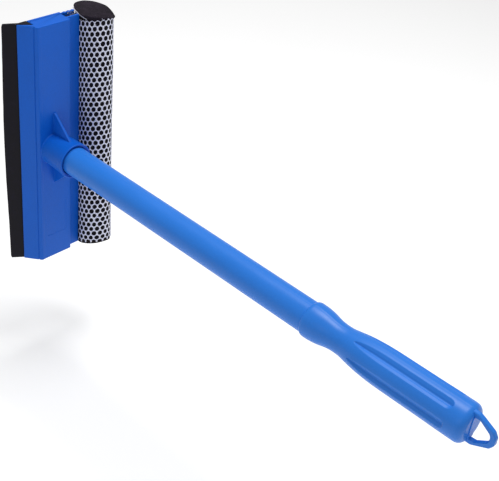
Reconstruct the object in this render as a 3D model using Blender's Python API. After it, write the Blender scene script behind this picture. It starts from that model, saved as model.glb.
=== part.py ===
"""Hand squeegee applicator: a moulded head with a rubber blade and a netted foam pad, on a hollow handle.

Frame: the origin is the centre of the head's flat back face, on the handle's axis. +X runs from the head
to the grip, +Y from the rubber blade to the foam pad, and +Z along the head. Sizes are in millimetres and
become metres when a mesh is made.
"""
import math

import bmesh
import bpy

MM = 0.001
GAP = 0.3                  # clearance between pieces that touch

# Head: a closed-ended box with a jaw on each long side
HEAD_LENGTH = 203.0
HEAD_DEPTH = 14.2          # back face to front face
BLADE_SIDE_MARGIN = 0.2    # socket to the box's side wall, towards the blade
PAD_SIDE_MARGIN = 1.9      # socket to the box's side wall, towards the pad
RIDGE_OVERHANG = 0.8       # the front face reaches this far past the blade-side wall
FRONT_WALL = 2.2
SIDE_WALL = 2.0
END_WALL = 2.0
RIB_WALL = 1.6
CAVITY_CELLS = 5           # hollow cells between the inner cross ribs

# Back plate, which closes the box and is the rear jaw of the pad clamp
PLATE_THICKNESS = 2.2
WING_WEB = 1.2
WING_INSET = 0.1           # plate's front face to the wing's middle plane
BEAD_RADIUS = 1.4
BEAD_PITCH = 3.7
BEAD_COUNT = 3
PEG_RADIUS = 2.0
PEG_WALL = 1.8
PEG_TIP_DEPTH = 3.0        # front wall to the floor of the peg's hole
PEG_STATIONS = (-85.0, -45.0, 45.0, 85.0)

# Jaws
BLADE_LIP_REACH = 9.5      # how far the blade's jaw stands out past the ridge, along Y
BLADE_LIP_SETBACK = 11.7   # how far its free edge lies behind the front face
BLADE_LIP_EDGE = 0.9       # jaw thickness at its free edge
GROOVE_SETBACK = 5.9       # floor of the V groove behind the front face
PAD_LIP_SETBACK = 3.5
PAD_LIP_THICKNESS = 1.8
PAD_LIP_REACH = 11.15      # how far the pad's jaw stands out past the box

# Rubber blade
BLADE_THICKNESS = 2.7      # at the jaw's mouth
BLADE_TIP_THICKNESS = 1.0
BLADE_FREE_LENGTH = 10.1
BLADE_ROOT_OVERHANG = 0.2  # the root stands this far proud of the back face

# Socket and gussets
SOCKET_LENGTH = 25.3       # front face to the mouth
SOCKET_ROOT_WALL = 1.55
SOCKET_MOUTH_WALL = 2.65
SOCKET_FLOOR = 2.3
SOCKET_REAR_SPACE = 1.4    # back plate to the socket's floor
GUSSET_RISE = 17.4         # how far a gusset stands up past the socket, on the front face
GUSSET_LENGTH = 19.7
GUSSET_THICKNESS = 1.8

# Handle: tube, stepped collar, waist, fluted grip and hanging loop
TUBE_RADIUS = 11.05
HANDLE_WALL = 1.6
TUBE_LENGTH = 235.0        # socket mouth to the step
STEP_RISE = 1.3
STEP_LENGTH = 4.7
WAIST_RADIUS = 9.65
WAIST_DISTANCE = 24.7      # step to the narrowest point
SWELL_DISTANCE = 30.0      # narrowest point to the full grip
GRIP_RADIUS = 13.1
GRIP_LENGTH = 122.7        # step to the end face
END_ROUNDING = 5.0
FLUTE_COUNT = 6
FLUTE_DEPTH = 1.5
FLUTE_HALF_ANGLE = 17.0
FLUTE_START = 38.0         # from the step
FLUTE_END = 110.0
FLUTE_POINT_LENGTH = 17.0
FLUTE_ROUND_LENGTH = 3.0
LOOP_REACH = 15.3          # end face to the loop's outer edge
LOOP_HALF_WIDTH = 12.0
LOOP_TIP_HALF_WIDTH = 5.0
LOOP_BAR = 3.6
LOOP_THICKNESS = 3.4

# Foam pad and netting
PAD_STANDOFF = 10.55       # pad lip's edge to the pad's centre
PAD_HALF_DEPTH = 18.6      # netting's outer half size along X
PAD_HALF_WIDTH = 12.2      # netting's outer half size along Y
NET_THICKNESS = 0.8
NET_BARE_END = 3.5         # foam left bare at the +Z end

SEGMENTS = 36              # sides of a round piece
ARC_STEPS = 6

HALF_HEAD = HEAD_LENGTH / 2
SHELL_REAR = PLATE_THICKNESS + GAP
FRONT_FACE = HEAD_DEPTH
SOCKET_MOUTH = FRONT_FACE + SOCKET_LENGTH
BORE_RADIUS = TUBE_RADIUS + GAP
BORE_FLOOR = SHELL_REAR + SOCKET_REAR_SPACE + SOCKET_FLOOR
SOCKET_ROOT_RADIUS = BORE_RADIUS + SOCKET_ROOT_WALL
SOCKET_MOUTH_RADIUS = BORE_RADIUS + SOCKET_MOUTH_WALL
HEAD_BLADE_SIDE = SOCKET_ROOT_RADIUS + BLADE_SIDE_MARGIN
HEAD_PAD_SIDE = SOCKET_ROOT_RADIUS + PAD_SIDE_MARGIN
PAD_LIP_EDGE = HEAD_PAD_SIDE + PAD_LIP_REACH
PAD_OFFSET = PAD_LIP_EDGE + PAD_STANDOFF
WING_CENTRE = PLATE_THICKNESS - WING_INSET
PEG_LINE = (HEAD_PAD_SIDE - HEAD_BLADE_SIDE) / 2
PEG_HOLE_FLOOR = FRONT_FACE - FRONT_WALL - PEG_TIP_DEPTH
STEP_STATION = SOCKET_MOUTH + TUBE_LENGTH
END_FACE = STEP_STATION + GRIP_LENGTH


def material(name, colour, roughness, metallic=0.0):
    """A Principled material with one colour."""
    made = bpy.data.materials.new(name)
    made.use_nodes = True
    shader = made.node_tree.nodes["Principled BSDF"]
    shader.inputs["Base Color"].default_value = (*colour, 1.0)
    shader.inputs["Roughness"].default_value = roughness
    shader.inputs["Metallic"].default_value = metallic
    return made


def mesh_object(name, vertices, faces, finish=None):
    """One closed mesh object from millimetre vertices, with its faces turned outwards."""
    mesh = bpy.data.meshes.new(name)
    mesh.from_pydata([(x * MM, y * MM, z * MM) for x, y, z in vertices], [], faces)
    shape = bmesh.new()
    shape.from_mesh(mesh)
    bmesh.ops.recalc_face_normals(shape, faces=shape.faces)
    shape.to_mesh(mesh)
    shape.free()
    made = bpy.data.objects.new(name, mesh)
    bpy.context.collection.objects.link(made)
    if finish:
        mesh.materials.append(finish)
    return made


def smooth(piece, angle=40.0):
    """Shade a round piece smooth, with its corners kept."""
    piece.data.shade_smooth()
    piece.data.set_sharp_from_angle(angle=math.radians(angle))
    return piece


def prism(name, outline, low, high, finish=None):
    """An XY outline carried along Z."""
    count = len(outline)
    vertices = [(x, y, low) for x, y in outline] + [(x, y, high) for x, y in outline]
    faces = [tuple(range(count)), tuple(range(count, 2 * count))]
    for index in range(count):
        after = (index + 1) % count
        faces.append((index, after, count + after, count + index))
    return mesh_object(name, vertices, faces, finish)


def flat_prism(name, outline, half_thickness, finish=None):
    """An XZ outline given a thickness along Y, centred on the handle's axis."""
    made = prism(name, outline, -half_thickness, half_thickness, finish)
    for vertex in made.data.vertices:
        x, z, y = vertex.co
        vertex.co = (x, y, z)
    made.data.flip_normals()
    return made


def block(name, low, high):
    """A plain box between two corners."""
    outline = [(low[0], low[1]), (high[0], low[1]), (high[0], high[1]), (low[0], high[1])]
    return prism(name, outline, low[2], high[2])


def revolve(name, profile, finish=None, radius_at=None, centre=(0.0, 0.0)):
    """Turn a profile of (x, radius) points about an axis along X; zero radius closes it at a pole."""
    vertices = []
    faces = []
    rings = []
    for x, radius in profile:
        if radius == 0.0:
            rings.append([len(vertices)])
            vertices.append((x, centre[0], centre[1]))
            continue
        ring = []
        for index in range(SEGMENTS):
            angle = 2 * math.pi * index / SEGMENTS
            reach = radius_at(x, radius, angle) if radius_at else radius
            ring.append(len(vertices))
            y = centre[0] + reach * math.cos(angle)
            z = centre[1] + reach * math.sin(angle)
            vertices.append((x, y, z))
        rings.append(ring)
    for ring, following in zip(rings, rings[1:]):
        for index in range(SEGMENTS):
            after = (index + 1) % SEGMENTS
            if len(ring) == 1:
                faces.append((ring[0], following[index], following[after]))
            elif len(following) == 1:
                faces.append((ring[index], ring[after], following[0]))
            else:
                faces.append((ring[index], ring[after], following[after], following[index]))
    return mesh_object(name, vertices, faces, finish)


def arc(centre, radii, start, end, steps):
    """Points on an ellipse arc, with angles in degrees."""
    points = []
    for index in range(steps + 1):
        angle = math.radians(start + (end - start) * index / steps)
        points.append((centre[0] + radii[0] * math.cos(angle), centre[1] + radii[1] * math.sin(angle)))
    return points


def rounded(corners, steps=ARC_STEPS):
    """An outline from (x, y, radius) corners, each corner rounded by a tangent arc."""
    outline = []
    count = len(corners)
    for index, (x, y, radius) in enumerate(corners):
        if radius == 0.0:
            outline.append((x, y))
            continue
        before = corners[index - 1]
        after = corners[(index + 1) % count]
        to_before = math.atan2(before[1] - y, before[0] - x)
        to_after = math.atan2(after[1] - y, after[0] - x)
        turn = (to_after - to_before + math.pi) % (2 * math.pi) - math.pi
        half = abs(turn) / 2
        middle = to_before + turn / 2
        centre_x = x + radius / math.sin(half) * math.cos(middle)
        centre_y = y + radius / math.sin(half) * math.sin(middle)
        sweep = math.pi - abs(turn)
        first = middle + math.pi + math.copysign(sweep / 2, turn)
        for step in range(steps + 1):
            angle = first - math.copysign(sweep, turn) * step / steps
            outline.append((centre_x + radius * math.cos(angle), centre_y + radius * math.sin(angle)))
    return outline


def combine(piece, tool, operation):
    """Add a live Boolean to a piece, and hide the tool that shapes it."""
    step = piece.modifiers.new(tool.name, "BOOLEAN")
    step.operation = operation
    step.solver = "EXACT"
    step.object = tool
    tool.hide_render = True
    tool.display_type = "WIRE"


def blade_jaw():
    """Places of the blade's jaw: V groove floor, direction along the rubber, normal and lip corners.

    The lip's front runs straight from the ridge to its free edge, and its back from the V groove's floor to
    the same edge, so the lip tapers. The rubber lies along the lip's back.
    """
    ridge = (FRONT_FACE, -HEAD_BLADE_SIDE - RIDGE_OVERHANG)
    edge_front = (FRONT_FACE - BLADE_LIP_SETBACK, ridge[1] - BLADE_LIP_REACH)
    length = math.hypot(BLADE_LIP_SETBACK, BLADE_LIP_REACH)
    inward = (-BLADE_LIP_REACH / length, BLADE_LIP_SETBACK / length)
    edge_back = (edge_front[0] + BLADE_LIP_EDGE * inward[0], edge_front[1] + BLADE_LIP_EDGE * inward[1])
    floor = (FRONT_FACE - GROOVE_SETBACK, -HEAD_BLADE_SIDE)
    reach = math.hypot(edge_back[0] - floor[0], edge_back[1] - floor[1])
    along = ((edge_back[0] - floor[0]) / reach, (edge_back[1] - floor[1]) / reach)
    behind = (along[1], -along[0])
    return {"ridge": ridge, "edge_front": edge_front, "edge_back": edge_back, "floor": floor,
            "reach": reach, "along": along, "behind": behind}


def blade_point(station, depth):
    """A point at a distance along the rubber from the V groove's floor, and a depth behind the lip."""
    jaw = blade_jaw()
    x = jaw["floor"][0] + station * jaw["along"][0] + depth * jaw["behind"][0]
    y = jaw["floor"][1] + station * jaw["along"][1] + depth * jaw["behind"][1]
    return x, y


def blade_axis():
    """The line along Z that the free part of the blade bends about, at the jaw's mouth."""
    return blade_point(blade_jaw()["reach"], GAP + BLADE_THICKNESS / 2)


def head_outline():
    """The head's section: box walls, tapered blade lip and set-back pad lip."""
    jaw = blade_jaw()
    pad_lip_front = FRONT_FACE - PAD_LIP_SETBACK
    pad_lip_back = pad_lip_front - PAD_LIP_THICKNESS
    return [
        (SHELL_REAR, -HEAD_BLADE_SIDE),
        jaw["floor"],
        jaw["edge_back"],
        jaw["edge_front"],
        jaw["ridge"],
        (FRONT_FACE, HEAD_PAD_SIDE),
        (pad_lip_front, HEAD_PAD_SIDE),
        (pad_lip_front, PAD_LIP_EDGE),
        (pad_lip_back, PAD_LIP_EDGE),
        (pad_lip_back, HEAD_PAD_SIDE),
        (SHELL_REAR, HEAD_PAD_SIDE),
    ]


def cut_cells(head):
    """Hollow the box from behind in equal cells, which leaves cross ribs between them."""
    span = HEAD_LENGTH - 2 * END_WALL
    cell = (span - RIB_WALL * (CAVITY_CELLS - 1)) / CAVITY_CELLS
    for index in range(CAVITY_CELLS):
        low = -HALF_HEAD + END_WALL + index * (cell + RIB_WALL)
        lower = (SHELL_REAR - 1.0, -HEAD_BLADE_SIDE + SIDE_WALL, low)
        upper = (FRONT_FACE - FRONT_WALL, HEAD_PAD_SIDE - SIDE_WALL, low + cell)
        combine(head, block(f"cell_cutter_{index}", lower, upper), "DIFFERENCE")


def add_socket(head):
    """Add the flared socket with its inner boss, the two gussets, and bore it for the handle."""
    boss_rear = BORE_FLOOR - SOCKET_FLOOR
    sunk = FRONT_WALL / 2
    profile = [
        (boss_rear, 0.0),
        (boss_rear, SOCKET_ROOT_RADIUS),
        (FRONT_FACE - sunk, SOCKET_ROOT_RADIUS),
        (SOCKET_MOUTH, SOCKET_MOUTH_RADIUS),
        (SOCKET_MOUTH, 0.0),
    ]
    combine(head, revolve("socket_shape", profile), "UNION")
    inner = (BORE_RADIUS + SOCKET_ROOT_RADIUS) / 2
    tip = FRONT_FACE + GUSSET_LENGTH
    slope = GUSSET_RISE / GUSSET_LENGTH
    for side in (1, -1):
        outline = [
            (FRONT_FACE - sunk, side * inner),
            (FRONT_FACE - sunk, side * (SOCKET_ROOT_RADIUS + GUSSET_RISE + slope * sunk)),
            (tip, side * SOCKET_ROOT_RADIUS),
            (tip, side * inner),
        ]
        combine(head, flat_prism(f"gusset_shape_{side}", outline, GUSSET_THICKNESS / 2), "UNION")
    bore = [
        (BORE_FLOOR, 0.0),
        (BORE_FLOOR, BORE_RADIUS),
        (SOCKET_MOUTH + 1.0, BORE_RADIUS),
        (SOCKET_MOUTH + 1.0, 0.0),
    ]
    combine(head, revolve("bore_cutter", bore), "DIFFERENCE")


def add_peg_bosses(head):
    """Add hollow bosses behind the front wall that take the back plate's pegs."""
    hole = PEG_RADIUS + GAP
    for index, station in enumerate(PEG_STATIONS):
        cup = [
            (FRONT_FACE - FRONT_WALL / 2, 0.0),
            (FRONT_FACE - FRONT_WALL / 2, hole + PEG_WALL),
            (SHELL_REAR, hole + PEG_WALL),
            (SHELL_REAR, hole),
            (PEG_HOLE_FLOOR, hole),
            (PEG_HOLE_FLOOR, 0.0),
        ]
        combine(head, revolve(f"boss_shape_{index}", cup, centre=(PEG_LINE, station)), "UNION")


def make_head_front(finish):
    """The front moulding: box, both front jaws, socket and gussets in one piece."""
    head = prism("head_front", head_outline(), -HALF_HEAD, HALF_HEAD, finish)
    cut_cells(head)
    add_socket(head)
    add_peg_bosses(head)
    return head


def bead_centres():
    """Y places of the clamp beads, the last one level with the pad lip's edge."""
    return [PAD_LIP_EDGE - BEAD_PITCH * index for index in reversed(range(BEAD_COUNT))]


def wing_side(side):
    """One side of the beaded wing, from the plate outwards: half circles joined by a thin web."""
    offset = math.sqrt(BEAD_RADIUS ** 2 - (WING_WEB / 2) ** 2)
    blend = math.degrees(math.atan2(offset, WING_WEB / 2))
    points = []
    for number, centre in enumerate(bead_centres()):
        end = 90.0 if number == BEAD_COUNT - 1 else blend
        for index in range(ARC_STEPS + 1):
            angle = math.radians(-blend + (end + blend) * index / ARC_STEPS)
            x = WING_CENTRE + side * BEAD_RADIUS * math.cos(angle)
            points.append((x, centre + BEAD_RADIUS * math.sin(angle)))
    return points


def make_head_back(finish):
    """The back plate, with the beaded wing that grips the pad's tail, and its pegs."""
    wing_root = HEAD_PAD_SIDE + GAP
    front_side = wing_side(1)
    back_side = wing_side(-1)
    outline = [
        (0.0, -HEAD_BLADE_SIDE),
        (PLATE_THICKNESS, -HEAD_BLADE_SIDE),
        (PLATE_THICKNESS, wing_root),
        (WING_CENTRE + WING_WEB / 2, wing_root),
        *front_side,
        *reversed(back_side[:-1]),
        (WING_CENTRE - WING_WEB / 2, wing_root + WING_WEB),
        (0.0, wing_root),
    ]
    plate = prism("head_back", outline, -HALF_HEAD, HALF_HEAD, finish)
    for index, station in enumerate(PEG_STATIONS):
        peg = [
            (PLATE_THICKNESS / 2, 0.0),
            (PLATE_THICKNESS / 2, PEG_RADIUS),
            (PEG_HOLE_FLOOR - GAP, PEG_RADIUS),
            (PEG_HOLE_FLOOR - GAP, 0.0),
        ]
        combine(plate, revolve(f"peg_shape_{index}", peg, centre=(PEG_LINE, station)), "UNION")
    return plate


def make_blade_root(finish):
    """The blade's wedge root, which fills the V groove between the lip and the box."""
    jaw = blade_jaw()
    wall = -HEAD_BLADE_SIDE - GAP
    end = jaw["reach"] - BLADE_THICKNESS / 2 - GAP
    groove_end = (blade_point(0.0, GAP)[1] - wall) / -jaw["along"][1]
    outline = [
        blade_point(groove_end, GAP),
        blade_point(end, GAP),
        blade_point(end, GAP + BLADE_THICKNESS),
        (-BLADE_ROOT_OVERHANG, wall),
    ]
    return prism("blade_root", outline, -HALF_HEAD, HALF_HEAD, finish)


def make_blade_lip(finish):
    """The blade's free part, tapered to its edge, with an inner end that is round about the bend axis."""
    reach = blade_jaw()["reach"]
    axis = blade_axis()
    along = blade_jaw()["along"]
    heading = math.degrees(math.atan2(along[1], along[0]))
    rolled = arc(axis, (BLADE_THICKNESS / 2, BLADE_THICKNESS / 2), heading - 90.0, heading - 270.0, 10)
    tip = reach + BLADE_FREE_LENGTH
    outline = rolled + [
        blade_point(tip, GAP),
        blade_point(tip, GAP + BLADE_TIP_THICKNESS),
    ]
    made = prism("blade_lip", outline, -HALF_HEAD, HALF_HEAD, finish)
    for vertex in made.data.vertices:
        vertex.co.x -= axis[0] * MM
        vertex.co.y -= axis[1] * MM
    made.location = (axis[0] * MM, axis[1] * MM, 0.0)
    return smooth(made)


def pad_angle(radii, x=None, y=None):
    """The angle on the pad's ellipse, on its side towards the head, where it reaches x or y."""
    if y is None:
        return -math.degrees(math.acos((x - FRONT_FACE) / radii[0]))
    return -180.0 - math.degrees(math.asin((y - PAD_OFFSET) / radii[1]))


def make_foam_pad(finish):
    """The foam: an elliptical roll with a flat tail that is pinched in the pad clamp."""
    radii = (PAD_HALF_DEPTH - NET_THICKNESS - GAP, PAD_HALF_WIDTH - NET_THICKNESS - GAP)
    lip_front = FRONT_FACE - PAD_LIP_SETBACK + GAP
    tail_front = FRONT_FACE - PAD_LIP_SETBACK - PAD_LIP_THICKNESS - GAP
    tail_back = WING_CENTRE + BEAD_RADIUS + GAP
    wing_edge = PAD_LIP_EDGE + BEAD_RADIUS + GAP
    tail_floor = HEAD_PAD_SIDE + GAP + WING_WEB
    start = pad_angle(radii, x=lip_front)
    end = 360.0 + pad_angle(radii, y=wing_edge)
    roll = arc((FRONT_FACE, PAD_OFFSET), radii, start, end, SEGMENTS)
    outline = roll + [
        (tail_back, wing_edge),
        (tail_back, tail_floor),
        (tail_front, tail_floor),
        (tail_front, PAD_LIP_EDGE + GAP),
        (lip_front, PAD_LIP_EDGE + GAP),
    ]
    return smooth(prism("foam_pad", outline, -HALF_HEAD, HALF_HEAD, finish))


def make_net_sleeve(finish):
    """The netting's plain skin round the foam, open where the clamp grips it."""
    outer_radii = (PAD_HALF_DEPTH, PAD_HALF_WIDTH)
    inner_radii = (PAD_HALF_DEPTH - NET_THICKNESS, PAD_HALF_WIDTH - NET_THICKNESS)
    centre = (FRONT_FACE, PAD_OFFSET)
    lip_front = FRONT_FACE - PAD_LIP_SETBACK + GAP
    wing_edge = PAD_LIP_EDGE + BEAD_RADIUS + GAP
    outlines = []
    for radii in (outer_radii, inner_radii):
        start = pad_angle(radii, x=lip_front)
        end = 360.0 + pad_angle(radii, y=wing_edge)
        outlines.append(arc(centre, radii, start, end, SEGMENTS))
    outline = outlines[0] + outlines[1][::-1]
    return smooth(prism("net_sleeve", outline, -HALF_HEAD, HALF_HEAD - NET_BARE_END, finish))


def flute_cut(x, angle):
    """How deep the nearest flute is at a point: a V across, pointed to the head and round at the end."""
    start = STEP_STATION + FLUTE_START
    end = STEP_STATION + FLUTE_END
    if not start < x < end:
        return 0.0
    entry = min(1.0, (x - start) / FLUTE_POINT_LENGTH)
    exit_ = min(1.0, (end - x) / FLUTE_ROUND_LENGTH)
    openness = math.sqrt(1 - (1 - entry) ** 2) * math.sqrt(1 - (1 - exit_) ** 2)
    pitch = 360.0 / FLUTE_COUNT
    off_centre = abs((math.degrees(angle) + pitch / 2) % pitch - pitch / 2)
    return FLUTE_DEPTH * openness * max(0.0, 1 - off_centre / (FLUTE_HALF_ANGLE * max(openness, 0.1)))


def ease(share):
    """A smooth rise from 0 to 1."""
    return (1 - math.cos(math.pi * share)) / 2


def grip_profile():
    """Outer (x, radius) points from the step to the end face's centre."""
    collar = TUBE_RADIUS + STEP_RISE
    collar_end = STEP_STATION + STEP_LENGTH
    waist = STEP_STATION + WAIST_DISTANCE
    full = waist + SWELL_DISTANCE
    points = [
        (STEP_STATION, TUBE_RADIUS),
        (STEP_STATION + 1.2, collar - 0.2),
        (STEP_STATION + 2.6, collar),
        (collar_end, collar),
    ]
    for index in range(1, 6):
        share = index / 5
        x = collar_end + (waist - collar_end) * share
        points.append((x, collar + (WAIST_RADIUS - collar) * ease(share)))
    for index in range(1, 8):
        share = index / 7
        points.append((waist + SWELL_DISTANCE * share, WAIST_RADIUS + (GRIP_RADIUS - WAIST_RADIUS) * ease(share)))
    flutes_end = STEP_STATION + FLUTE_END
    steps = 5
    for index in range(1, steps + 1):
        points.append((full + (flutes_end - FLUTE_ROUND_LENGTH - full) * index / steps, GRIP_RADIUS))
    points.append((flutes_end - FLUTE_ROUND_LENGTH / 3, GRIP_RADIUS))
    points.append((flutes_end, GRIP_RADIUS))
    corner = (END_FACE - END_ROUNDING, GRIP_RADIUS - END_ROUNDING)
    points.extend(arc(corner, (END_ROUNDING, END_ROUNDING), 90.0, 0.0, 5))
    points.append((END_FACE, 0.0))
    return points


def inner_profile():
    """The hollow's (x, radius) points, from its closed end back to the open spigot."""
    grip_core = GRIP_RADIUS - FLUTE_DEPTH - HANDLE_WALL
    waist = STEP_STATION + WAIST_DISTANCE
    return [
        (END_FACE - 2 * HANDLE_WALL, 0.0),
        (END_FACE - 2 * HANDLE_WALL, GRIP_RADIUS - END_ROUNDING - HANDLE_WALL),
        (END_FACE - 2 * END_ROUNDING, grip_core),
        (waist + SWELL_DISTANCE, grip_core),
        (waist + SWELL_DISTANCE / 3, WAIST_RADIUS - HANDLE_WALL),
        (waist - SWELL_DISTANCE / 3, WAIST_RADIUS - HANDLE_WALL),
        (STEP_STATION, TUBE_RADIUS - HANDLE_WALL),
        (BORE_FLOOR + GAP, TUBE_RADIUS - HANDLE_WALL),
    ]


def loop_outline(inset):
    """The hanging loop's outline: a blunt arrow, moved in by inset."""
    root = END_FACE - END_ROUNDING
    tip = END_FACE + LOOP_REACH - inset
    shoulder = END_FACE + 1.5 - inset / 3
    wide = LOOP_HALF_WIDTH - inset
    narrow = LOOP_TIP_HALF_WIDTH - inset / 2
    base = root if inset == 0.0 else END_FACE - HANDLE_WALL / 2
    corner = 4.0 - inset / 2
    return rounded([
        (base, -wide, 0.0),
        (shoulder, -wide, corner),
        (tip, -narrow, corner),
        (tip, narrow, corner),
        (shoulder, wide, corner),
        (base, wide, 0.0),
    ])


def loop_ring():
    """The loop as one U-shaped bar outline, its ends sunk into the grip's end."""
    outer = loop_outline(0.0)
    inner = loop_outline(LOOP_BAR)
    root = outer[0][0]
    legs = [(root, inner[-1][1]), *reversed(inner), (root, inner[0][1])]
    return outer + legs


def make_handle(finish):
    """The blow-moulded handle: one hollow piece from its open spigot to the hanging loop."""
    def fluted(x, radius, angle):
        """Outer radius less the flute; the hollow stays round."""
        on_grip = radius > GRIP_RADIUS - FLUTE_DEPTH and x > STEP_STATION + FLUTE_START
        return radius - (flute_cut(x, angle) if on_grip else 0.0)

    outer = [(BORE_FLOOR + GAP, TUBE_RADIUS), (SOCKET_MOUTH, TUBE_RADIUS)] + grip_profile()
    profile = outer[::-1] + inner_profile()[::-1]
    handle = revolve("handle", profile, finish, radius_at=fluted)
    ring = flat_prism("loop_shape", loop_ring(), LOOP_THICKNESS / 2)
    combine(handle, ring, "UNION")
    return smooth(handle)


def build():
    """Clear the scene and make every piece."""
    for old in list(bpy.data.objects):
        bpy.data.objects.remove(old)
    make_head_front(material("head_front_plastic", (0.016, 0.093, 0.435), 0.38))
    make_head_back(material("head_back_plastic", (0.018, 0.098, 0.44), 0.4))
    make_blade_root(material("blade_root_rubber", (0.012, 0.011, 0.014), 0.6))
    make_blade_lip(material("blade_lip_rubber", (0.014, 0.013, 0.017), 0.55))
    make_foam_pad(material("foam", (0.02, 0.018, 0.022), 0.95))
    make_net_sleeve(material("netting", (0.55, 0.58, 0.75), 0.7))
    make_handle(material("handle_plastic", (0.045, 0.21, 0.66), 0.35))


build()
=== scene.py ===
"""Looks of a hand squeegee applicator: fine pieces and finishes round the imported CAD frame.

Row frame: the origin is the centre of the head's back face on the handle's axis, +X runs to the grip, +Y to
the foam pad and +Z along the head. Sizes below are in millimetres, and become metres when a mesh is made.
"""
import logging
import math
from collections.abc import Sequence
from dataclasses import dataclass, field
from enum import Enum
import bmesh  # noqa: E402
import bpy  # noqa: E402
import numpy as np  # noqa: E402
from mathutils import Matrix, Vector  # noqa: E402


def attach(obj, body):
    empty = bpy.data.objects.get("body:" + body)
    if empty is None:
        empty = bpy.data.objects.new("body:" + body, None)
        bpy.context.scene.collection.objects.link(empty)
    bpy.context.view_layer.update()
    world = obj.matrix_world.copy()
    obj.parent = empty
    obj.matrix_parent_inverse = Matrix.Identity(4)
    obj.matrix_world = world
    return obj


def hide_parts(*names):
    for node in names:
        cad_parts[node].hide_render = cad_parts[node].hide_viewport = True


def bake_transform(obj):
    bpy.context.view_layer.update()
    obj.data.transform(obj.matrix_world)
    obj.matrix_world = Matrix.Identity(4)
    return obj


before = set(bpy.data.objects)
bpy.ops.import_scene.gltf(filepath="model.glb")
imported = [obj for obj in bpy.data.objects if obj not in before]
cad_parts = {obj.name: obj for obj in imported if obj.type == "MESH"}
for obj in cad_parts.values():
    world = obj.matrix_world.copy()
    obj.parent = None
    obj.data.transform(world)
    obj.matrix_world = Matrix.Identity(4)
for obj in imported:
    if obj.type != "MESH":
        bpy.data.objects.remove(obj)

Array = np.ndarray
Pair = tuple[float, float]
Triple = tuple[float, float, float]
Material = bpy.types.Material
Piece = bpy.types.Object
Socket = bpy.types.NodeSocket

MM = 0.001
TURN = 2 * math.pi
log = logging.getLogger("squeegee")


# ---------------------------------------------------------------- surfaces


@dataclass
class Shell:
    """Points and faces of a surface in millimetres, with an optional flat pattern place for each point."""

    points: Array
    faces: list[list[int]]
    cloth: Array | None = None


def merged(shells: Sequence[Shell]) -> Shell:
    """Several shells with flat pattern places, side by side in one.

    Args:
        shells: the shells.

    Returns:
        One shell that holds them all.
    """
    starts = np.cumsum([0] + [len(shell.points) for shell in shells]).tolist()
    faces = [[index + start for index in face] for each, start in zip(shells, starts) for face in each.faces]
    points, cloth = (np.vstack(rows) for rows in zip(*((each.points, each.cloth) for each in shells)))
    return Shell(points, faces, cloth)


def lattice(rows: int, columns: int, closed: bool = True) -> Array:
    """Four-sided faces of a grid whose point (row, column) has the number row * columns + column.

    Args:
        rows: points along the first direction.
        columns: points along the second.
        closed: whether the last column joins the first.

    Returns:
        (n, 4) point numbers.
    """
    row = np.arange(rows - 1)[:, None] * columns
    column = np.arange(columns if closed else columns - 1)[None, :]
    after = (column + 1) % columns
    corners = np.broadcast_arrays(row + column, row + after, row + columns + after, row + columns + column)
    return np.stack(corners, -1).reshape(-1, 4)


def grid_shell(points: Array, cloth: Array | None = None) -> Shell:
    """A tube from a (rows, columns, 3) grid that is round along its columns, with a flat face on each end.

    Args:
        points: the grid of places.
        cloth: flat pattern places, as a (rows, columns, 2) grid.

    Returns:
        The shell.
    """
    rows, columns = points.shape[:2]
    ends = [list(range(columns))[::-1], list(range((rows - 1) * columns, rows * columns))]
    flat = None if cloth is None else cloth.reshape(-1, 2)
    return Shell(points.reshape(-1, 3), lattice(rows, columns).tolist() + ends, flat)


def poled(rings: Array, first: Sequence[float], last: Sequence[float]) -> Shell:
    """A closed surface from a (rings, sides, 3) grid, with a fan of triangles from a pole to each end ring.

    Args:
        rings: the grid of places, round along its sides.
        first: the pole before the first ring.
        last: the pole after the last ring.

    Returns:
        The shell.
    """
    rows, sides = rings.shape[:2]
    points = np.vstack([rings.reshape(-1, 3), [first, last]])
    here = np.arange(sides)
    after, end = (here + 1) % sides, (rows - 1) * sides
    fans = [np.stack([after, here, np.full(sides, len(points) - 2)], -1),
            np.stack([end + here, end + after, np.full(sides, len(points) - 1)], -1)]
    return Shell(points, lattice(rows, sides).tolist() + np.vstack(fans).tolist())


def turned(profile: Array, sides: int, centre: Pair = (0.0, 0.0)) -> Shell:
    """A closed solid of revolution about a line along X.

    The point at share s of a turn and profile point (x, r) is (x, cy + r cos s, cz + r sin s). The profile
    starts and ends on the axis, and each of those ends is one pole point.

    Args:
        profile: (x, radius) points from pole to pole.
        sides: points round a turn.
        centre: (y, z) of the axis.

    Returns:
        The shell.
    """
    angle = np.arange(sides) * TURN / sides
    x, radius = profile[1:-1, :1], profile[1:-1, 1:]
    rings = np.stack([np.broadcast_to(x, (len(x), sides)), centre[0] + radius * np.cos(angle),
                      centre[1] + radius * np.sin(angle)], -1)
    return poled(rings, (profile[0, 0], *centre), (profile[-1, 0], *centre))


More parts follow.
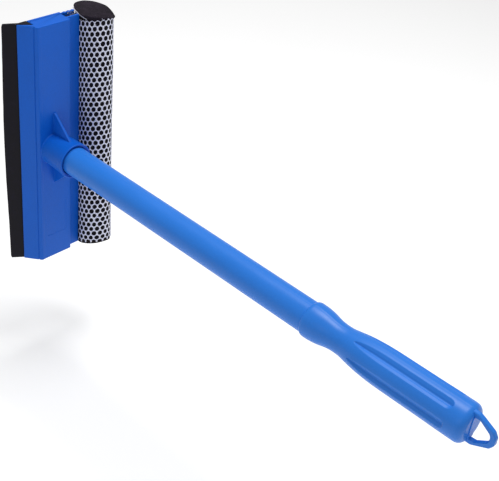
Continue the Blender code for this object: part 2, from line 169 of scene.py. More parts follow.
def rounded(corners: Sequence[Triple], steps: int = 6) -> Array:
    """A closed outline with each corner replaced by an arc that touches both of its sides.

    The arc's centre lies on the corner's bisector at radius / sin(half angle), and its ends lie at
    radius / tan(half angle) along the sides.

    Args:
        corners: (x, y, radius) of each corner.
        steps: parts of each arc.

    Returns:
        An (n, 2) array of points, with doubled points left out.
    """
    data = np.array(corners, float)
    place, radius = data[:, :2], data[:, 2]
    before = np.roll(place, 1, 0) - place
    after = np.roll(place, -1, 0) - place
    before /= np.linalg.norm(before, axis=1)[:, None]
    after /= np.linalg.norm(after, axis=1)[:, None]
    half = np.arccos(np.clip((before * after).sum(1), -1.0, 1.0)) / 2
    middle = before + after
    middle /= np.maximum(np.linalg.norm(middle, axis=1), 1e-9)[:, None]
    centre = place + middle * (radius / np.sin(half))[:, None]
    reach = (radius / np.tan(half))[:, None]
    first, last = place + before * reach - centre, place + after * reach - centre
    start = np.arctan2(first[:, 1], first[:, 0])
    sweep = (np.arctan2(last[:, 1], last[:, 0]) - start + math.pi) % TURN - math.pi
    angle = start[:, None] + sweep[:, None] * np.linspace(0.0, 1.0, steps + 1)
    arc = centre[:, None] + radius[:, None, None] * np.stack([np.cos(angle), np.sin(angle)], -1)
    outline = np.where(radius[:, None, None] > 0.0, arc, place[:, None]).reshape(-1, 2)
    return outline[np.linalg.norm(np.roll(outline, -1, 0) - outline, axis=1) > 1e-5]


def oblong(low: Pair, high: Pair, radii: Sequence[float]) -> Array:
    """A rounded rectangle between two opposite corners, its radii in order from the lower one."""
    places = [low, (high[0], low[1]), high, (low[0], high[1])]
    return rounded([(*place, radius) for place, radius in zip(places, radii)])


def spread(outline: Array, longest: float) -> Array:
    """Splits each side of a closed outline into the fewest equal parts that are no longer than a limit.

    Args:
        outline: (n, 2) points.
        longest: the limit.

    Returns:
        The outline with the added points.
    """
    side = np.roll(outline, -1, 0) - outline
    parts = np.maximum(1, np.ceil(np.linalg.norm(side, axis=1) / longest)).astype(int)
    owner = np.repeat(np.arange(len(outline)), parts)
    first = np.repeat(np.cumsum(parts) - parts, parts)
    share = (np.arange(parts.sum()) - first) / parts[owner]
    return outline[owner] + side[owner] * share[:, None]


def outward(outline: Array) -> Array:
    """Unit normals of an anticlockwise outline: the chord between both neighbours, turned a quarter.

    Args:
        outline: (n, 2) points.

    Returns:
        The normals, of the same shape.
    """
    chord = np.roll(outline, -1, 0) - np.roll(outline, 1, 0)
    normal = np.stack([chord[:, 1], -chord[:, 0]], -1)
    return normal / np.linalg.norm(normal, axis=1)[:, None]


def anticlockwise(outline: Array) -> Array:
    """The outline in the order that keeps its inside on the left.

    Args:
        outline: (n, 2) points in either order.

    Returns:
        The points in that order.
    """
    x, y = outline[:, 0], outline[:, 1]
    area = (x * np.roll(y, -1) - np.roll(x, -1) * y).sum()
    return outline if area > 0 else outline[::-1]


def stacked(outline: Array, place: Array, grow: Array, along: int = 2) -> Shell:
    """Carries an outline along an axis: each station's copy is moved out along its normals by an amount.

    Args:
        outline: (n, 2) points in the plane square to the axis.
        place: each station on the axis.
        grow: the amount at each station.
        along: the axis, 0 for X or 2 for Z.

    Returns:
        The shell.
    """
    outline = anticlockwise(outline)
    flat = outline[None] + outward(outline)[None] * grow[:, None, None]
    line = np.broadcast_to(place[:, None, None], (place.size, len(outline), 1))
    return grid_shell(np.concatenate([line, flat] if along == 0 else [flat, line], -1))


def carried(outline: Array, low: float, high: float, rim: float, step: float, rings: int = 4) -> Shell:
    """Carries an XY outline along Z between two closed ends with rounded rims.

    In a rim, the ring at angle a stands rim * (1 - sin a) inside the outline and rim * (1 - cos a) from the
    end's plane.

    Args:
        outline: (n, 2) points.
        low: Z of the lower end.
        high: Z of the upper end.
        rim: radius of the rims.
        step: longest distance between two stations between the rims.
        rings: parts of a rim.

    Returns:
        The shell.
    """
    angle = np.linspace(0.0, math.pi / 2, rings + 1)
    inset, rise = rim * (1 - np.sin(angle)), rim * (1 - np.cos(angle))
    between = np.linspace(low + rim, high - rim, max(2, math.ceil((high - low - 2 * rim) / step) + 1))[1:-1]
    z = np.concatenate([low + rise, between, (high - rise)[::-1]])
    return stacked(outline, z, -np.concatenate([inset, np.zeros(between.size), inset[::-1]]))


def paced(line: Array, share: Array) -> Array:
    """Points at shares of the way along an open line of (n, 2) points."""
    measure = np.concatenate([[0.0], np.cumsum(np.linalg.norm(np.diff(line, axis=0), axis=1))])
    return np.stack([np.interp(share * measure[-1], measure, line[:, k]) for k in (0, 1)], -1)


def curve_through(x: Array, keys: Sequence[Pair]) -> Array:
    """A smooth curve through key points that never overshoots between two of them.

    It is a cubic on each stretch, and its slope at a key is the harmonic mean of the two neighbouring
    slopes, or zero where they have different signs.

    Args:
        x: places to read.
        keys: (place, value) pairs in rising order of place.

    Returns:
        The value at each place, held level outside the keys.
    """
    place, value = np.array(keys, float).T
    width = np.diff(place)
    slope = np.diff(value) / width
    product = slope[:-1] * slope[1:]
    inner = np.where(product > 0, 2 * product / np.where(product > 0, slope[:-1] + slope[1:], 1.0), 0.0)
    tangent = np.concatenate([[slope[0]], inner, [slope[-1]]])
    x = np.clip(x, place[0], place[-1])
    index = np.clip(np.searchsorted(place, x, side="right") - 1, 0, len(width) - 1)
    share = (x - place[index]) / width[index]
    square, cube = share ** 2, share ** 3
    return ((2 * cube - 3 * square + 1) * value[index]
            + (cube - 2 * square + share) * width[index] * tangent[index]
            + (3 * square - 2 * cube) * value[index + 1]
            + (cube - square) * width[index] * tangent[index + 1])


def eased(value: Array, low: float, high: float) -> Array:
    """A smooth rise from 0 at low to 1 at high: 3 s^2 - 2 s^3 of the share s between them."""
    share = np.clip((value - low) / (high - low), 0.0, 1.0)
    return share * share * (3 - 2 * share)


def waves(place: Array, longest: float, count: int, seed: int) -> Array:
    """Soft unevenness along one direction: a sum of sines with falling lengths, scaled to about -1 to 1.

    Args:
        place: distances along the direction.
        longest: length of the longest wave.
        count: number of sines.
        seed: seed of their phases.

    Returns:
        The sum at each distance.
    """
    draw = np.random.default_rng(seed)
    number = np.arange(1, count + 1)
    phase = draw.uniform(0.0, TURN, count)
    stretch = draw.uniform(0.85, 1.2, count)
    wave = np.sin(place[..., None] * TURN * number * stretch / longest + phase) / number
    return wave.sum(-1) / (1.0 / number).sum()


# ---------------------------------------------------------------- meshes


def mesh_piece(name: str, shell: Shell, finish: Material | None = None, weld: float = 0.0) -> Piece:
    """Puts a shell into a mesh object at the origin, with its faces turned outwards.

    Args:
        name: the piece's name.
        shell: its surface.
        finish: its material.
        weld: points nearer than this many millimetres become one.

    Returns:
        The object.
    """
    mesh = bpy.data.meshes.new(name)
    mesh.from_pydata((shell.points * MM).tolist(), [], shell.faces)
    if shell.cloth is not None:
        corners = np.zeros(len(mesh.loops), np.int32)
        mesh.loops.foreach_get("vertex_index", corners)
        layer = mesh.uv_layers.new(name="cloth")
        layer.data.foreach_set("uv", (shell.cloth[corners] * MM).astype(np.float32).ravel())
    shape = bmesh.new()
    shape.from_mesh(mesh)
    if weld > 0.0:
        bmesh.ops.remove_doubles(shape, verts=shape.verts, dist=weld * MM)
    bmesh.ops.recalc_face_normals(shape, faces=shape.faces)
    shape.to_mesh(mesh)
    shape.free()
    piece = bpy.data.objects.new(name, mesh)
    bpy.context.scene.collection.objects.link(piece)
    if finish is not None:
        mesh.materials.append(finish)
    return piece


class Join(Enum):
    """How a tool shapes a piece."""

    ADD = "UNION"
    CUT = "DIFFERENCE"


def shaped(piece: Piece, tools: Sequence[tuple[Join, Shell]]) -> None:
    """Adds shells to a piece or cuts them from it, one after another, and keeps the resulting mesh.

    Args:
        piece: the piece, whose mesh is replaced.
        tools: what is added or cut, in order.
    """
    helpers = []
    for number, (join, shell) in enumerate(tools):
        helper = mesh_piece(f"{piece.name}_tool_{number}", shell)
        step = piece.modifiers.new(helper.name, "BOOLEAN")
        step.operation, step.solver, step.object = join.value, "EXACT", helper
        helpers.append(helper)
    bpy.context.view_layer.update()
    made = bpy.data.meshes.new_from_object(piece.evaluated_get(bpy.context.evaluated_depsgraph_get()))
    finish, spent = piece.data.materials[0], [piece.data] + [helper.data for helper in helpers]
    piece.modifiers.clear()
    piece.data = made
    for helper in helpers:
        bpy.data.objects.remove(helper)
    for mesh in spent:
        bpy.data.meshes.remove(mesh)
    made.name = piece.name
    made.materials.clear()
    made.materials.append(finish)
    made.polygons.foreach_set("material_index", np.zeros(len(made.polygons), np.int32))


def smoothed(piece: Piece, angle: float = 32.0, weighted: bool = True) -> None:
    """Shades a piece smooth, keeps edges sharper than an angle, and lets its large flat faces stay flat.

    Args:
        piece: the piece.
        angle: the least angle of a kept edge, in degrees.
        weighted: whether the larger faces lead the shading.
    """
    piece.data.shade_smooth()
    piece.data.set_sharp_from_angle(angle=math.radians(angle))
    if weighted:
        lead = piece.modifiers.new("flat_faces_lead", "WEIGHTED_NORMAL")
        lead.keep_sharp, lead.weight = True, 60


# ---------------------------------------------------------------- finishes


def linear(red: int, green: int, blue: int) -> Triple:
    """A colour given as three steps out of 255, as the shader's linear numbers."""
    steps = np.array([red, green, blue]) / 255
    return tuple(np.where(steps <= 0.04045, steps / 12.92, ((steps + 0.055) / 1.055) ** 2.4).tolist())


def scaled(colour: Triple, factor: float) -> Triple:
    """A colour made lighter or darker by a factor, and never above 1."""
    return tuple(min(1.0, channel * factor) for channel in colour)


class Look:
    """A node material while it is put together."""

    def __init__(self, name: str, source: str = "Object") -> None:
        """Starts a material whose textures read one output of the coordinate node.

        Args:
            name: its name.
            source: the output's name.
        """
        self.made = bpy.data.materials.new(name)
        self.made.use_nodes = True
        self.shader = self.made.node_tree.nodes["Principled BSDF"]
        self.place = self.node("ShaderNodeTexCoord").outputs[source]

    def node(self, kind: str, values: dict | None = None, **settings) -> bpy.types.Node:
        """Adds a node, sets its options, and sets or links its inputs.

        Args:
            kind: the node's type name.
            values: input name or number to a value, or to the output socket that feeds it.
            settings: the node's own options.

        Returns:
            The node.
        """
        made = self.made.node_tree.nodes.new(kind)
        for key, value in settings.items():
            setattr(made, key, value)
        self.feed(made, values or {})
        return made

    def feed(self, target: bpy.types.Node, values: dict) -> None:
        """Sets or links a node's inputs.

        Args:
            target: the node.
            values: input name or number to a value or an output socket.
        """
        for key, value in values.items():
            if isinstance(value, Socket):
                self.made.node_tree.links.new(value, target.inputs[key])
            else:
                target.inputs[key].default_value = value

    def stretched(self, scale: Triple) -> Socket:
        """The coordinates scaled differently along each axis."""
        return self.node("ShaderNodeMapping", {"Vector": self.place, "Scale": scale}).outputs[0]

    def noise(self, scale: float, detail: float = 2.0, rough: float = 0.5, vector: Socket | None = None,
              distortion: float = 0.0, output: str = "Fac") -> Socket:
        """A noise texture.

        Args:
            scale: cells for each unit.
            detail: octaves.
            rough: strength of the finer octaves.
            vector: what it reads, if not the coordinates.
            distortion: how far it is stirred.
            output: the output that is taken.

        Returns:
            The output.
        """
        values = {"Vector": vector or self.place, "Scale": scale, "Detail": detail, "Roughness": rough,
                  "Distortion": distortion}
        return self.node("ShaderNodeTexNoise", values).outputs[output]

    def maths(self, operation: str, first: Socket, second: Socket | float) -> Socket:
        """The result of a sum or product."""
        return self.node("ShaderNodeMath", {0: first, 1: second}, operation=operation).outputs[0]

    def ranged(self, value: Socket, read: Pair, give: Pair) -> Socket:
        """A value moved from one range to another and held inside it."""
        return self.node("ShaderNodeMapRange", {"Value": value, "From Min": read[0], "From Max": read[1],
                                                "To Min": give[0], "To Max": give[1]}).outputs[0]

    def bump(self, height: Socket, strength: float, distance: float, under: Socket | None = None) -> Socket:
        """A bumped normal, over another one if that is given."""
        values = {"Height": height, "Strength": strength, "Distance": distance}
        return self.node("ShaderNodeBump", values | ({"Normal": under} if under else {})).outputs["Normal"]

    def ramp(self, factor: Socket, stops: Sequence[tuple[float, Triple]]) -> Socket:
        """A colour ramp read by a factor.

        Args:
            factor: the socket that is read.
            stops: (position, colour) pairs.

        Returns:
            The ramp's colour.
        """
        made = self.node("ShaderNodeValToRGB", {"Fac": factor})
        row = made.color_ramp.elements
        while len(row) < len(stops):
            row.new(0.5)
        for element, (position, colour) in zip(row, stops):
            element.position, element.color = position, (*colour, 1.0)
        return made.outputs["Color"]

    def finished(self, **values: Socket | float | tuple) -> Material:
        """Sets or links the shader's inputs, named with underscores for spaces, and gives the material."""
        self.feed(self.shader, {key.replace("_", " "): value for key, value in values.items()})
        return self.made


@dataclass(frozen=True)
class MouldedPlastic:
    """Satin moulded plastic: clouded colour, fine mould grain, and gloss that varies in soft patches."""

    name: str
    colour: Triple
    roughness: float
    cloud: float
    grain: float
    grain_scale: float = 2600.0
    flow_scale: Triple = (60.0, 60.0, 25.0)
    shine: float = 0.22

    def make(self) -> Material:
        """Builds the material.

        Returns:
            The material, which reads Object coordinates.
        """
        look = Look(self.name)
        cloud = look.noise(1.0, 5.0, 0.6, look.stretched(self.flow_scale))
        half = look.maths("MULTIPLY", look.maths("ADD", cloud, look.noise(900.0)), 0.5)
        shade = look.ramp(half, [(0.3, scaled(self.colour, 1 - self.cloud)), (0.5, self.colour),
                                 (0.7, scaled(self.colour, 1 + self.cloud))])
        gloss = look.ranged(cloud, (0.3, 0.7), (self.roughness - 0.05, self.roughness + 0.07))
        fine = look.bump(look.noise(self.grain_scale, 3.0, 0.55), self.grain, 0.00006)
        return look.finished(Base_Color=shade, Roughness=gloss, Normal=look.bump(cloud, 0.35, 0.0004, fine),
                             IOR=1.5, Specular_IOR_Level=self.shine)


@dataclass(frozen=True)
class ExtrudedRubber:
    """Black extruded rubber: fine lines along its length, dusty grey patches and a soft sheen."""

    name: str
    colour: Triple
    roughness: float = 0.55

    def make(self) -> Material:
        """Builds the material.

        Returns:
            The material, which reads Object coordinates.
        """
        look = Look(self.name)
        lines = look.noise(1.0, 3.0, vector=look.stretched((2200.0, 2200.0, 30.0)))
        dust = look.noise(120.0, 6.0, 0.65)
        shade = look.ramp(dust, [(0.32, scaled(self.colour, 0.75)), (0.52, self.colour),
                                 (0.75, scaled(self.colour, 1.7))])
        gloss = look.ranged(dust, (0.3, 0.7), (self.roughness - 0.1, self.roughness + 0.12))
        return look.finished(Base_Color=shade, Roughness=gloss, Normal=look.bump(lines, 0.3, 0.00008),
                             Specular_IOR_Level=0.14)


@dataclass(frozen=True)
class OpenCellFoam:
    """Black open-cell foam: half-millimetre pores with lighter walls, and painted shade on the sides that
    the netting covers.
    """

    name: str
    colour: Triple
    pore_scale: float = 1500.0
    # Painted shade: the share of the foam's colour kept below the netting's upper edge (net_edge, heights in
    # metres), standing in for the netting's shade.
    painted_shade_under_net: float = 0.35
    net_edge: Pair = (0.0995, 0.101)

    def make(self) -> Material:
        """Builds the material.

        Returns:
            The material, which reads Object coordinates.
        """
        look = Look(self.name)
        wobble = look.noise(700.0, 3.0, output="Color")
        moved = look.node("ShaderNodeMixRGB", {"Fac": 0.0006, "Color1": look.place,
                                               "Color2": wobble}).outputs[0]
        pores = look.node("ShaderNodeTexVoronoi", {"Vector": moved, "Scale": self.pore_scale},
                          feature="F1").outputs["Distance"]
        walls = look.maths("MULTIPLY", pores, look.noise(160.0, 4.0))
        shade = look.ramp(walls, [(0.10, scaled(self.colour, 0.35)), (0.25, self.colour),
                                  (0.50, scaled(self.colour, 1.8))])
        # Painted shade: below the netting's upper edge the colour is multiplied down, standing in for the
        # shade that the netting throws on the foam.
        height = look.node("ShaderNodeSeparateXYZ", {"Vector": look.place}).outputs["Z"]
        under = look.ranged(height, self.net_edge, (self.painted_shade_under_net, 1.0))
        net_shaded = look.node("ShaderNodeMixRGB", {"Fac": 1.0, "Color1": shade, "Color2": under},
                           blend_type="MULTIPLY").outputs[0]
        return look.finished(Base_Color=net_shaded, Normal=look.bump(pores, 0.9, 0.0004), Roughness=0.95,
                             Specular_IOR_Level=0.06, Sheen_Weight=0.04, Sheen_Roughness=0.6)


@dataclass(frozen=True)
class KnittedYarn:
    """White textured yarn: bulky crimped filaments, with painted lilac shade in the folds between them."""

    name: str
    colour: Triple
    # Painted shade: the darker lilac colour put in the folds between the filaments.
    fold_shade: Triple

    def make(self) -> Material:
        """Builds the material.

        Returns:
            The material, which reads the piece's own cloth map.
        """
        look = Look(self.name, "UV")
        twist = look.node("ShaderNodeTexWave", {"Vector": look.place, "Scale": 420.0, "Distortion": 6.0,
                                                "Detail": 2.0}, bands_direction="DIAGONAL").outputs["Fac"]
        both = look.maths("MULTIPLY", look.noise(1500.0, 4.0, distortion=1.2), twist)
        # The ramp's lowest stop is painted lilac shade in the folds between the filaments.
        shade = look.ramp(both, [(0.02, self.fold_shade), (0.25, self.colour), (0.70, scaled(self.colour, 1.1))])
        return look.finished(Base_Color=shade, Normal=look.bump(both, 0.7, 0.00025), Roughness=0.75,
                             Sheen_Weight=0.3, Sheen_Roughness=0.5)


@dataclass(frozen=True)
class PaleFloor:
    """Plain matt white floor with the faintest unevenness, lit a little from within as a light table is."""

    name: str
    colour: Triple
    glow: float = 0.30

    def make(self) -> Material:
        """Builds the material.

        Returns:
            The material, which reads Object coordinates.
        """
        look = Look(self.name)
        shade = look.ramp(look.noise(3.0), [(0.3, scaled(self.colour, 0.99)), (0.7, self.colour)])
        return look.finished(Base_Color=shade, Roughness=0.9, Specular_IOR_Level=0.1,
                             Emission_Color=(1.0, 1.0, 1.0, 1.0), Emission_Strength=self.glow)


@dataclass(frozen=True)
class Finishes:
    """Every finish of the squeegee."""

    head: MouldedPlastic = MouldedPlastic("head_plastic", linear(6, 93, 200), 0.42, 0.08, 0.35)
    handle: MouldedPlastic = MouldedPlastic("handle_plastic", linear(41, 122, 219), 0.36, 0.05, 0.12,
                                            2200.0, (25.0, 60.0, 60.0), 0.3)
    rubber: ExtrudedRubber = ExtrudedRubber("blade_rubber", linear(22, 20, 28))
    foam: OpenCellFoam = OpenCellFoam("open_cell_foam", linear(36, 30, 40))
    # The yarn's second colour is painted lilac shade for the folds between its filaments.
    yarn: KnittedYarn = KnittedYarn("net_yarn", linear(232, 234, 246), linear(168, 172, 208))
    floor: PaleFloor = PaleFloor("pale_floor", (0.9, 0.9, 0.9))


# ---------------------------------------------------------------- head


@dataclass
class HeadFront:
    """The head's front moulding: box, both front lips, socket and gussets."""

    half_length: float = 101.5
    face: float = 14.2
    rear: float = 2.5
    blade_wall: float = -13.1
    pad_wall: float = 14.8
    ridge: float = -13.9
    band: tuple[float, float, float] = (0.1, 2.3, 2.8)
    groove: tuple[float, float, float, float] = (2.3, 2.8, 3.3, 0.5)
    groove_floor: Pair = (8.3, -13.1)
    lip_back: Pair = (1.93, -22.70)
    lip_front: Pair = (2.5, -23.4)
    pad_lip_front: float = 10.7
    pad_lip_back: float = 8.9
    pad_lip_edge: float = 25.95
    rim: float = 0.55
    socket_rear: float = 3.9
    socket_root: float = 12.9
    socket_mouth_radius: float = 14.0
    socket_mouth: float = 39.5
    mouth_round: float = 0.6
    fillet: float = 0.85
    sunk: float = 1.1
    bore: float = 11.35
    bore_floor: float = 6.2
    bore_steps: tuple[Pair, ...] = (
        (-2.2, 0.0), (-2.0, 0.45), (-1.1, 0.5), (-0.85, 0.75), (-0.85, 1.4), (-0.7, 1.6), (0.1, 1.65),
        (1.0, 1.65))
    gusset_top: float = 33.9
    gusset_height: float = 30.3
    gusset_half: float = 0.9
    gusset_nose: float = 0.9
    panel: tuple[Pair, Pair] = ((-8.6, -80.0), (10.0, -50.0))
    panel_corner: float = 1.6
    cells: int = 5
    wall: float = 2.0
    front_wall: float = 2.2
    rib: float = 1.6
    sides: int = 96

    def section(self) -> Array:
        """The box with its two lips, seen along Z, with a shallow groove beside the ridge.

        Returns:
            The outline, as (x, y) points.
        """
        ridge = np.array([self.face, self.ridge])
        front = np.array(self.lip_front) - ridge
        front /= np.linalg.norm(front)
        inward = np.array([front[1], -front[0]])
        near, deep, far, depth = self.groove
        rise, flat_end, slope_end = self.band
        return spread(rounded([
            (self.rear, self.blade_wall, 0.25), (*self.groove_floor, 0.3), (*self.lip_back, 0.4),
            (*self.lip_front, 0.4), (*(ridge + front * far), 0.3),
            (*(ridge + front * deep + inward * depth), 0.15), (*(ridge + front * near), 0.25),
            (self.face + rise, self.ridge, 1.5),
            (self.face + rise, self.ridge + flat_end, 0.35), (self.face, self.ridge + slope_end, 0.35),
            (self.face, self.pad_wall, 0.7), (self.pad_lip_front, self.pad_wall, 0.5),
            (self.pad_lip_front, self.pad_lip_edge, 0.85), (self.pad_lip_back, self.pad_lip_edge, 0.85),
            (self.pad_lip_back, self.pad_wall, 0.4), (self.rear, self.pad_wall, 0.25)]), 3.0)

    def cell_cutters(self) -> list[Shell]:
        """Rounded blocks that hollow the box from behind, with a rib between each two.

        Returns:
            A shell for each cell.
        """
        length = (2 * (self.half_length - self.wall) - self.rib * (self.cells - 1)) / self.cells
        outline = oblong((self.rear - 1.0, self.blade_wall + self.wall),
                         (self.face - self.front_wall, self.pad_wall - self.wall), (0.0, 0.8, 0.8, 0.0))
        starts = -self.half_length + self.wall + np.arange(self.cells) * (length + self.rib)
        return [carried(outline, start, start + length, 0.6, 50.0, 3) for start in starts.tolist()]

    def socket(self) -> Shell:
        """The socket's outside as a solid turned about X, with a fillet at the face and a rounded mouth.

        Returns:
            The shell.
        """
        angle = np.linspace(0.0, math.pi / 2, 8)
        flare = np.stack([self.face - 0.03 + self.fillet * (1 - np.cos(angle)),
                          self.socket_root + self.fillet * (1 - np.sin(angle))], -1)
        lip, size = np.linspace(0.0, math.pi / 2, 6), self.mouth_round
        rim = np.stack([self.socket_mouth - size + size * np.sin(lip),
                        self.socket_mouth_radius - size + size * np.cos(lip)], -1)
        wall = flare[-1] + (rim[0] - flare[-1]) * np.linspace(0.0, 1.0, 8)[1:-1, None]
        foot = self.face - self.sunk
        return turned(np.vstack([[(self.socket_rear, 0.0), (self.socket_rear, self.socket_root),
                                  (foot, self.socket_root), (foot, flare[0, 1])],
                                 flare, wall, rim, [(self.socket_mouth, 0.0)]]), self.sides)

    def bore_cutter(self) -> Shell:
        """The bore with a chamfered mouth and a step round it.

        Returns:
            The shell.
        """
        steps = np.array(self.bore_steps) + (self.socket_mouth, self.bore)
        return turned(np.vstack([[(self.bore_floor, 0.0), (self.bore_floor, self.bore)], steps,
                                 [(steps[-1, 0], 0.0)]]), self.sides)

    def gusset(self, side: int) -> Shell:
        """A triangular web in the XZ plane with a rounded edge and flared feet.

        Its section at a distance z from the axis is a loop: half thickness w = half + flare of the height
        above the face, rounded off over the last 0.3 mm below the sloping edge.

        Args:
            side: 1 for the web towards +Z, -1 for the other.

        Returns:
            The shell.
        """
        inner = (self.bore + self.socket_root) / 2
        slope = (self.gusset_top - self.face - self.gusset_nose) / (self.gusset_height - self.socket_root)
        z = np.concatenate([[inner], np.linspace(self.socket_root, self.gusset_height - 0.3, 26),
                            self.gusset_height + np.array([-0.12, -0.03, 0.0])])
        foot = self.face - self.sunk
        top = self.gusset_top - slope * np.maximum(z - self.socket_root, 0.0)
        top[-3:] -= np.array([0.06, 0.16, 0.32])
        share = np.linspace(0.0, 1.0, 9) ** 1.6
        x = np.concatenate([foot + (top[:, None] - foot - 0.32) * share,
                            top[:, None] - np.array([0.24, 0.16, 0.08, 0.03, 0.0])], 1)
        flare = 0.55 * np.exp(-np.maximum(x - self.face, 0.0) / 0.5)
        edge = np.clip((top[:, None] - x) / 0.3, 0.0, 1.0)
        half = (self.gusset_half + flare) * np.sqrt(np.clip(1 - (1 - edge) ** 2, 0.02, 1.0))
        line = np.broadcast_to(side * z[:, None], x.shape)
        return grid_shell(np.concatenate([np.stack([x, half, line], -1),
                                          np.stack([x, -half, line], -1)[:, ::-1]], 1))

    def panel_cutter(self) -> Shell:
        """A plain shallow rectangle with round corners, cut into the face below the socket.

        Returns:
            The shell.
        """
        depth, grow = np.array([-0.22, -0.16, 0.12, 0.6]), np.array([-0.35, 0.0, 0.22, 0.22])
        return stacked(oblong(*self.panel, (self.panel_corner,) * 4), self.face + depth, grow, 0)

    def build(self, finish: Material) -> Piece:
        """Builds and dresses the piece.

        Args:
            finish: its plastic.

        Returns:
            The piece, which replaces the CAD's front moulding.
        """
        body = carried(self.section(), -self.half_length, self.half_length, self.rim, 4.0)
        piece = mesh_piece("head_front_moulding", body, finish)
        tools = [(Join.CUT, cutter) for cutter in self.cell_cutters()]
        tools += [(Join.ADD, self.socket()), (Join.ADD, self.gusset(1)), (Join.ADD, self.gusset(-1)),
                  (Join.CUT, self.bore_cutter()), (Join.CUT, self.panel_cutter())]
        shaped(piece, tools)
        smoothed(piece)
        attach(piece, "root")
        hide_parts("head_front")
        return piece


@dataclass
class HeadBack:
    """The back plate: a flat cover with pegs, whose beaded wing clamps the pad's tail."""

    half_length: float = 101.5
    thickness: float = 2.2
    low: float = -13.1
    wing_root: float = 15.1
    web: float = 1.2
    bead: float = 1.4
    bead_x: float = 2.1
    beads: tuple[float, ...] = (18.55, 22.25, 25.95)
    peg_y: float = 0.85
    peg_stations: tuple[float, ...] = (-85.0, -45.0, 45.0, 85.0)
    peg_radius: float = 2.0
    peg_tip: float = 8.7
    taper: float = 0.7

    def section(self) -> Array:
        """The plate and the wing seen along Z: round beads joined by a thin web.

        Returns:
            The outline, as (x, y) points.
        """
        y = np.linspace(self.wing_root, self.beads[-1] + self.bead, 90)
        away = np.abs(y[:, None] - np.array(self.beads)).min(1)
        half = np.sqrt(np.maximum(self.bead ** 2 - away ** 2, 0.0))
        joined = np.hypot(half, self.web / 2 * (away / self.bead).clip(0.0, 1.0))
        half = np.where(y < self.beads[-1], joined, half)
        half = np.where(y < self.beads[0] - self.bead, self.web / 2, half)
        half[-1] = 0.02
        front = np.stack([self.bead_x + half, y], -1)
        back = np.stack([self.bead_x - half, y], -1)[::-1]
        root = self.wing_root
        plate = rounded([(0.0, root + 0.9, 0.3), (0.0, self.low, 0.35), (self.thickness, self.low, 0.2),
                         (self.thickness, root - 0.3, 0.2), (self.thickness, root + 0.9, 0.0)], 4)
        outline = np.vstack([plate[plate[:, 1] < root + 0.7], front[2:], back[:-2]])
        return spread(anticlockwise(outline), 3.0)

    def peg(self, station: float) -> Shell:
        """A round peg with a tapered tip, which the front moulding's boss takes.

        Args:
            station: Z of the peg's axis.

        Returns:
            The shell.
        """
        start, radius, tip = self.thickness / 2, self.peg_radius, self.peg_tip
        profile = [(start, 0.0), (start, radius), (tip - self.taper, radius), (tip, radius - self.taper),
                   (tip, 0.0)]
        return turned(np.array(profile), 32, (self.peg_y, station))

    def mark(self, station: float) -> Shell:
        """The shallow round sink that a moulding pin leaves on the outer face behind each peg."""
        profile = [(-0.4, 0.0), (-0.4, 3.0), (0.12, 2.85), (0.12, 0.0)]
        return turned(np.array(profile), 40, (self.peg_y, station))

    def build(self, finish: Material) -> Piece:
        """Builds and dresses the piece.

        Args:
            finish: its plastic.

        Returns:
            The piece, which replaces the CAD's back plate.
        """
        body = carried(self.section(), -self.half_length, self.half_length, 0.25, 4.0, 3)
        piece = mesh_piece("head_back_plate", body, finish)
        tools = [(Join.ADD, self.peg(station)) for station in self.peg_stations]
        tools += [(Join.CUT, self.mark(station)) for station in self.peg_stations]
        shaped(piece, tools)
        smoothed(piece)
        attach(piece, "root")
        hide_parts("head_back")
        return piece


# ---------------------------------------------------------------- blade


@dataclass
class RubberBlade:
    """The blade: one extrusion from its wedge root in the groove to its thin free edge."""

    half_length: float = 101.5
    floor: Pair = (8.3, -13.1)
    along: Pair = (-0.5527, -0.8334)
    behind: Pair = (-0.8334, 0.5527)
    reach: float = 11.52
    free: float = 10.1
    gap: float = 0.3
    thick: float = 2.7
    tip: float = 1.0
    wave: float = 0.22
    bow: tuple[Pair, ...] = (
        (-101.5, 0.6), (-80.0, 0.7), (-50.0, 1.25), (0.0, 1.9), (40.0, 1.55), (80.0, 0.7), (101.5, 0.5))

    def place(self, station: float, depth: float) -> Pair:
        """The point at a distance along the blade and a depth behind the lip."""
        point = np.array(self.floor) + station * np.array(self.along) + depth * np.array(self.behind)
        return float(point[0]), float(point[1])

    def section(self) -> Array:
        """The blade seen along Z.

        Returns:
            The outline, as (x, y) points.
        """
        gap, end = self.gap, self.reach + self.free
        return spread(rounded([
            (*self.place(0.95, gap), 0.3), (*self.place(end, gap), 0.2),
            (*self.place(end, gap + self.tip), 0.45), (*self.place(self.reach + 6.0, gap + 1.75), 4.0),
            (*self.place(self.reach - 1.0, gap + self.thick), 3.0), (-0.2, -13.4, 0.5)], 8), 0.8)

    def build(self, finish: Material) -> Piece:
        """Builds and dresses the piece, and bends it between the head and the free lip.

        Along Z, a point at distance s past the mouth moves sideways by soft waves times (s / free)^2, and
        its free edge bows outwards towards the middle.

        Args:
            finish: its rubber.

        Returns:
            The piece, which replaces both CAD pieces of the blade.
        """
        shell = carried(self.section(), -self.half_length, self.half_length, 0.25, 2.0, 3)
        points = shell.points
        z = points[:, 2]
        past = (points[:, :2] - np.array(self.floor)) @ np.array(self.along) - self.reach
        share = np.clip(past / self.free, 0.0, 1.0) ** 2
        trim = share * (curve_through(z, self.bow) + 0.1 * waves(z, 60.0, 5, 9))
        trim -= 0.6 * share * eased(np.abs(z), self.half_length - 2.5, self.half_length)
        points[:, :2] += (self.wave * share * waves(z, 190.0, 4, 5))[:, None] * np.array(self.behind)
        points[:, :2] += trim[:, None] * np.array(self.along)
        piece = mesh_piece("rubber_blade", shell, finish)
        smoothed(piece, 50.0, False)
        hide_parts("blade_root", "blade_lip")
        middle = self.gap + self.thick / 2
        start = (*self.place(self.reach - 1.0, middle), 0.0)
        end = (*self.place(self.reach + 3.0, middle), 0.0)
        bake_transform(piece)
        return piece


